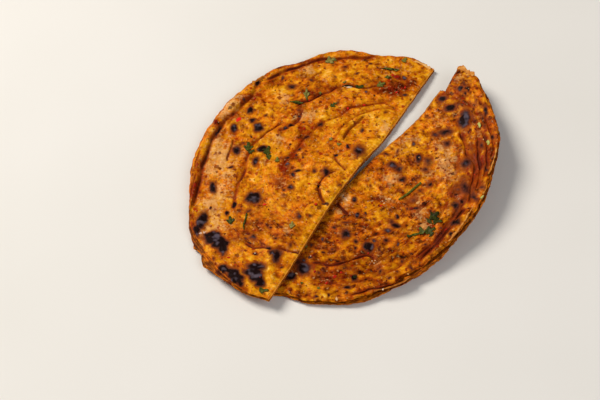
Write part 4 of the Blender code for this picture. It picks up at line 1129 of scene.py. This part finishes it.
# A flake of chilli of its own: (half, x, y, length, width, turn, tone). Tone 0 is dark red, 1 bright.
CHILLIES = (
    (LEFT, -69, 38.5, 4.6, 3.0, 60, 1.0), (LEFT, -84, 34, 4.0, 1.8, 75, 0.25), (LEFT, -51, -30, 2.4, 1.4, 10, 0.9),
    (LEFT, 3, 48, 2, 1.5, 30, 0.9), (LEFT, 14, 51.5, 2.2, 1.2, 0, 0.8), (LEFT, -19, -32.5, 1.9, 1.3, 0, 0.8),
    (LEFT, 37, 76, 4.4, 3.2, 20, 0.4), (LEFT, 34, 77.5, 2.6, 1.6, -20, 0.6), (LEFT, -23, -15.5, 1.4, 1, 0, 0.8),
    (LEFT, 42, 66, 2.2, 1.2, 80, 0.8), (LEFT, 36, 62, 1.8, 1.2, 40, 0.8), (LEFT, -59, 56, 2.4, 1.4, 60, 0.5),
    (LEFT, -95, -16, 3, 1.6, 85, 0.4), (LEFT, -26, 31, 2.2, 1.4, 20, 0.6), (LEFT, -72, -70, 1.8, 1.2, 0, 0.6),
    (RIGHT, -8, -82, 3, 1.8, 20, 0.6), (RIGHT, -13, -86, 2.4, 1.6, 70, 0.7), (RIGHT, -4, -79, 2.2, 1.4, 0, 0.6),
    (RIGHT, 41, -33, 2.6, 1.4, 10, 0.3), (RIGHT, 78, 48, 2, 1.2, 50, 0.5), (RIGHT, 22, -30, 2, 1.2, 30, 0.8),
    (RIGHT, 60, -52, 2.2, 1.4, 40, 0.5), (RIGHT, 86, -2, 2.2, 1.2, 80, 0.5), (RIGHT, -20, -78, 2, 1.2, 30, 0.6),
)
# A crumb: (half, x, y, length, width, height, tone). Tone 0 is toasted, 1 white.
CRUMBS = (
    (RIGHT, 27.5, -25, 2.6, 2.0, 0.6, 0.75), (RIGHT, 24, -28, 1.6, 1.2, 0.5, 0.8), (RIGHT, 45, -29, 3.4, 2.4, 0.6, 0.55),
    (RIGHT, 84.5, -29, 2.6, 2.0, 0.8, 0.15), (RIGHT, 20.5, -91.7, 1.8, 1.3, 0.6, 0.9), (RIGHT, -7, -97, 3, 1.8, 0.6, 0.7),
    (RIGHT, 15, -70, 1.2, 1.0, 0.5, 0.8), (RIGHT, 16.8, -69.4, 1.4, 1.0, 0.5, 0.7), (RIGHT, 16.2, -71.2, 1.0, 0.9, 0.5, 0.9),
    (LEFT, 4.3, 65.6, 5.0, 1.4, 0.6, 1.0), (LEFT, -56, -67.5, 1.1, 1.0, 0.5, 0.9), (RIGHT, -22.3, -67.0, 1.2, 1.0, 0.5, 0.9),
    (RIGHT, -31, -79, 1.2, 2.4, 0.5, 0.7),
    (RIGHT, 47.4, 4.8, 1.0, 1.0, 0.5, 0.6), (LEFT, -27, 43.4, 1.4, 1.0, 0.4, 0.7), (RIGHT, 88, 12, 1.4, 1.0, 0.5, 0.7),
    (LEFT, 1.2, 66.4, 2.0, 1.0, 0.5, 0.9), (RIGHT, 23, -26.4, 1.2, 1.0, 0.4, 0.7), (RIGHT, 36, -81.0, 1.6, 1.0, 0.5, 0.6),
)


def strewn(count, seed, sizes, where_zone=None):
    """Random places on both halves: (half, x, y, size, turn, tone), more of them where the zone is strong."""
    rng = np.random.default_rng(seed)
    places = []
    for half in (LEFT, RIGHT):
        theta, share = rng.uniform(0.03, math.pi - 0.03, count), np.sqrt(rng.uniform(0.001, 0.93, count))
        x, y = place(half, theta, share)
        keep = rng.uniform(0, 1, count) < (1.0 if where_zone is None else 0.25 + zone(where_zone[half["name"]], x, y))
        size, turn, tone = rng.uniform(*sizes, count), rng.uniform(0, 360, count), rng.uniform(0, 1, count)
        places += [(half, *row) for row in zip(x[keep], y[keep], size[keep], turn[keep], tone[keep])]
    return places


def coriander_material(name, tones, rough):
    """Fresh coriander wilted by hot oil: dark, a little glossy, paler along its ribs and where it faded."""
    material, tree, shader, where = new_material(name)
    fade = add(tree, "ShaderNodeAttribute", attribute_name="tone").outputs["Fac"]
    vein = add(tree, "ShaderNodeTexNoise", {"Vector": where, "Scale": 1 / (1.1 * MM), "Detail": 2.0}).outputs["Fac"]
    mixed = add(tree, "ShaderNodeMath", {0: vein, 1: fade}, operation="ADD").outputs[0]
    tint = add(tree, "ShaderNodeValToRGB", {"Fac": add(tree, "ShaderNodeMapRange", {
        "Value": mixed, "From Min": 0.35, "From Max": 1.6}).outputs[0]},
        stops=[(k / (len(tones) - 1), srgb(tone)) for k, tone in enumerate(tones)])
    tree.links.new(tint.outputs["Color"], shader.inputs["Base Color"])
    shader.inputs["Roughness"].default_value = rough
    shader.inputs["Specular IOR Level"].default_value = 0.12
    bump = add(tree, "ShaderNodeBump", {"Height": vein, "Strength": 0.5, "Distance": 0.0002})
    tree.links.new(bump.outputs["Normal"], shader.inputs["Normal"])
    return material


def herbs():
    models = (
        leaf_model("leaf_a", ((0, 1.0, 26), (72, 0.85, 22), (-70, 0.9, 24), (180, 0.5, 14)), 1),
        leaf_model("leaf_b", ((10, 1.0, 34), (110, 0.8, 26), (-95, 0.75, 22)), 2),
        leaf_model("leaf_c", ((0, 1.0, 16), (38, 0.6, 14), (-42, 0.65, 16), (180, 0.9, 18), (140, 0.5, 12)), 3),
    )
    leaves = [copy_to(models[kind], half, x, y, length * 1.15, width * 1.15, 1.0, turn, tone)
              for half, x, y, length, width, turn, tone, kind in LEAVES]
    discard(*models)
    green = coriander_material("wilted_coriander_leaf", ("0C0C02", "222404", "40440E", "6C6A26", "907E46"), 0.45)
    lay("coriander_leaves", leaves, green)

    stems = []
    for half, points, thickness, tone in STEMS:
        curve = bpy.data.curves.new("stem", "CURVE")
        curve.dimensions, curve.bevel_depth, curve.bevel_resolution = "3D", thickness / 2, 2
        curve.use_fill_caps = True
        line = rounded(points)
        spline = curve.splines.new("POLY")
        spline.points.add(len(line) - 1)
        for k, (x, y) in enumerate(line):
            spline.points[k].co = (x, y, thickness * 0.32, 1)
            spline.points[k].radius = 1 - 0.5 * (k / (len(line) - 1)) ** 3
        stem = bpy.data.objects.new("stem", curve)
        bpy.context.scene.collection.objects.link(stem)
        deselect()
        stem.select_set(True)
        bpy.context.view_layer.objects.active = stem
        bpy.ops.object.convert(target="MESH")
        bpy.ops.object.shade_smooth()
        mark(stem, float(half is RIGHT), tone)
        stems.append(stem)
    stem_green = coriander_material("wilted_coriander_stem", ("1A1E08", "3E4410", "68661A", "A39A40", "B4B86A"), 0.4)
    lay("coriander_stems", stems, stem_green)


def spice_material(name, tones, rough, size):
    """Dried spice or crumb, crushed: broken colour from grain to grain, and a rough, chipped skin."""
    material, tree, shader, where = new_material(name)
    tone_at = add(tree, "ShaderNodeAttribute", attribute_name="tone").outputs["Fac"]
    speck = add(tree, "ShaderNodeTexNoise", {"Vector": where, "Scale": 1 / (size * MM), "Detail": 3.0}).outputs["Fac"]
    swing = add(tree, "ShaderNodeMath", {0: speck, 1: 0.5}, operation="SUBTRACT").outputs[0]
    mixed = add(tree, "ShaderNodeMath", {0: swing, 1: tone_at}, operation="ADD").outputs[0]
    tint = add(tree, "ShaderNodeValToRGB", {"Fac": mixed},
               stops=[(k / (len(tones) - 1), srgb(tone)) for k, tone in enumerate(tones)])
    tree.links.new(tint.outputs["Color"], shader.inputs["Base Color"])
    shader.inputs["Roughness"].default_value = rough
    shader.inputs["Specular IOR Level"].default_value = 0.1
    bump = add(tree, "ShaderNodeBump", {"Height": speck, "Strength": 0.6, "Distance": 0.0002})
    tree.links.new(bump.outputs["Normal"], shader.inputs["Normal"])
    return material


def spices():
    flakes = (flake_model("flake_a", 301), flake_model("flake_b", 305))
    chillies = [copy_to(flakes[k % 2], half, x, y, length, width, 0.55, turn, tone)
                for k, (half, x, y, length, width, turn, tone) in enumerate(CHILLIES)]
    chillies += [copy_to(flakes[k % 2], half, x, y, size, size * 0.65, 0.35, turn, tone * 0.7)
                 for k, (half, x, y, size, turn, tone) in enumerate(strewn(150, 311, (0.6, 1.4), MASALA))]
    discard(*flakes)
    lay("chilli_flakes", chillies, spice_material("crushed_dried_chilli", ("3A0A04", "7A1606", "B4200A", "D8281A"),
                                                  0.4, 0.8))
    grains = (grain_model("grain_a", 1, 0.22, 321), grain_model("grain_b", 1, 0.3, 322))
    peppers = [copy_to(grains[k % 2], half, x, y, size, size * 0.85, size * 0.3, turn, tone)
               for k, (half, x, y, size, turn, tone) in enumerate(strewn(50, 323, (0.5, 1.0)))]
    discard(*grains)
    lay("cracked_pepper", peppers, spice_material("cracked_black_pepper", ("1C100A", "3A1E0E", "5A3014", "744820"),
                                                  0.55, 0.5))
    crumb = grain_model("crumb", 2, 0.16, 331)
    crumbs = [copy_to(crumb, half, x, y, length * 0.8, width * 0.8, height * 0.5, 20 * k, tone * 0.8)
              for k, (half, x, y, length, width, height, tone) in enumerate(CRUMBS)]
    discard(crumb)
    lay("dough_crumbs", crumbs, spice_material("baked_dough_crumb", ("A8620E", "C88636", "D2A678", "E2D0BC"), 0.6, 0.9))


# ---------------------------------------------------------------- torn flakes of ply at the edges

# A torn flake stands out from the rim: (half, points along the edge, width, rise, tone).
TORN = (
    (LEFT, ((49, 90.5), (53, 89.3), (57, 87.4), (61, 84.8)), 1.3, 0.5, 0.7),
    (LEFT, ((-62, 68.5), (-58, 71.5), (-52, 76)), 1.6, 0.6, 0.2),
    (RIGHT, ((77.5, 77.6), (80, 76.2), (84, 72.5), (88, 67.5)), 1.3, 0.8, 0.4),
    (RIGHT, ((96.3, 12), (95.6, 5), (94.2, -3), (91.6, -11), (89.5, -16)), 0.6, 0.5, 0.4),
    (RIGHT, ((79, -37.5), (75.5, -43), (72, -49), (67, -56), (62, -62)), 0.4, 0.4, 0.35),
    (RIGHT, ((38, -84.5), (32, -88.5), (24, -91.5), (16, -93)), 0.2, 0.3, 0.1),
)


def torn_flakes():
    strips = []
    for k, (half, points, width, rise, tone) in enumerate(TORN):
        line = rounded(points)
        across = np.gradient(line, axis=0)
        across = np.stack([-across[:, 1], across[:, 0]], 1) / np.hypot(*across.T)[:, None]
        if ((line + across - line.mean(0)) @ line.mean(0)).mean() < ((line - across - line.mean(0)) @ line.mean(0)).mean():
            across = -across
        deselect()
        bpy.ops.mesh.primitive_grid_add(x_subdivisions=len(line) * 3, y_subdivisions=5, size=2, location=(0, 0, 0))
        strip, co = modelled("torn_strip")
        s, t = (co[:, 0] + 1) / 2, (co[:, 1] + 1) / 2
        at = s * (len(line) - 1)
        x, y = (np.interp(at, np.arange(len(line)), line[:, c]) for c in (0, 1))
        nx, ny = (np.interp(at, np.arange(len(line)), across[:, c]) for c in (0, 1))
        ragged = np.clip(0.55 + 0.55 * noise(at * 1.5, at * 0, 1.1, 400 + k) + 0.3 * noise(at * 1.5, at * 0, 3.1, 420 + k),
                         0.05, 1.2) * smooth(s / 0.12) * smooth((1 - s) / 0.12)
        out = t * (width * ragged + 2.0) - 2.6
        z = -0.4 + 0.25 * t + rise * ragged * t**2 + 0.15 * noise(x, y, 1.2, 440 + k)
        put_points(strip, np.stack([x + nx * out, y + ny * out, z], 1))
        apply(strip, "SOLIDIFY", thickness=0.3, offset=0)
        bpy.ops.object.shade_smooth()
        mark(strip, float(half is RIGHT), tone)
        strips.append(strip)
    lay("torn_plies", strips, spice_material("torn_wheat_ply", ("8A4A0E", "B87022", "D49A50", "E4C084"), 0.6, 2.0))


# ---------------------------------------------------------------- building

def bake(half, peek, skirt, name, level, patchy, pale, red, dots):
    piece = crust(half, peek, skirt)
    piece.data.materials.clear()
    piece.data.materials.append(crust_material(name, level, patchy, pale, red, dots))
    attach(piece, BODY)
    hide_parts(half["name"])


stage()
bake(LEFT, left_peek, left_skirt, "griddled_wheat_crust_left", 0.61, 1.25, ("C98A48", "E0AC6C"), "9A1E04", LEFT_DOTS)
# The right half's crust is painted darker than the left's (a lower level, and darker pale, red and dot tints): painted
# shade, for the dimmer light on that half.
bake(RIGHT, right_peek, right_skirt, "griddled_wheat_crust_right_painted_shade", 0.53, 1.7, ("B87A3E", "D29B5C"), "861804", RIGHT_DOTS)
herbs()
spices()
torn_flakes()
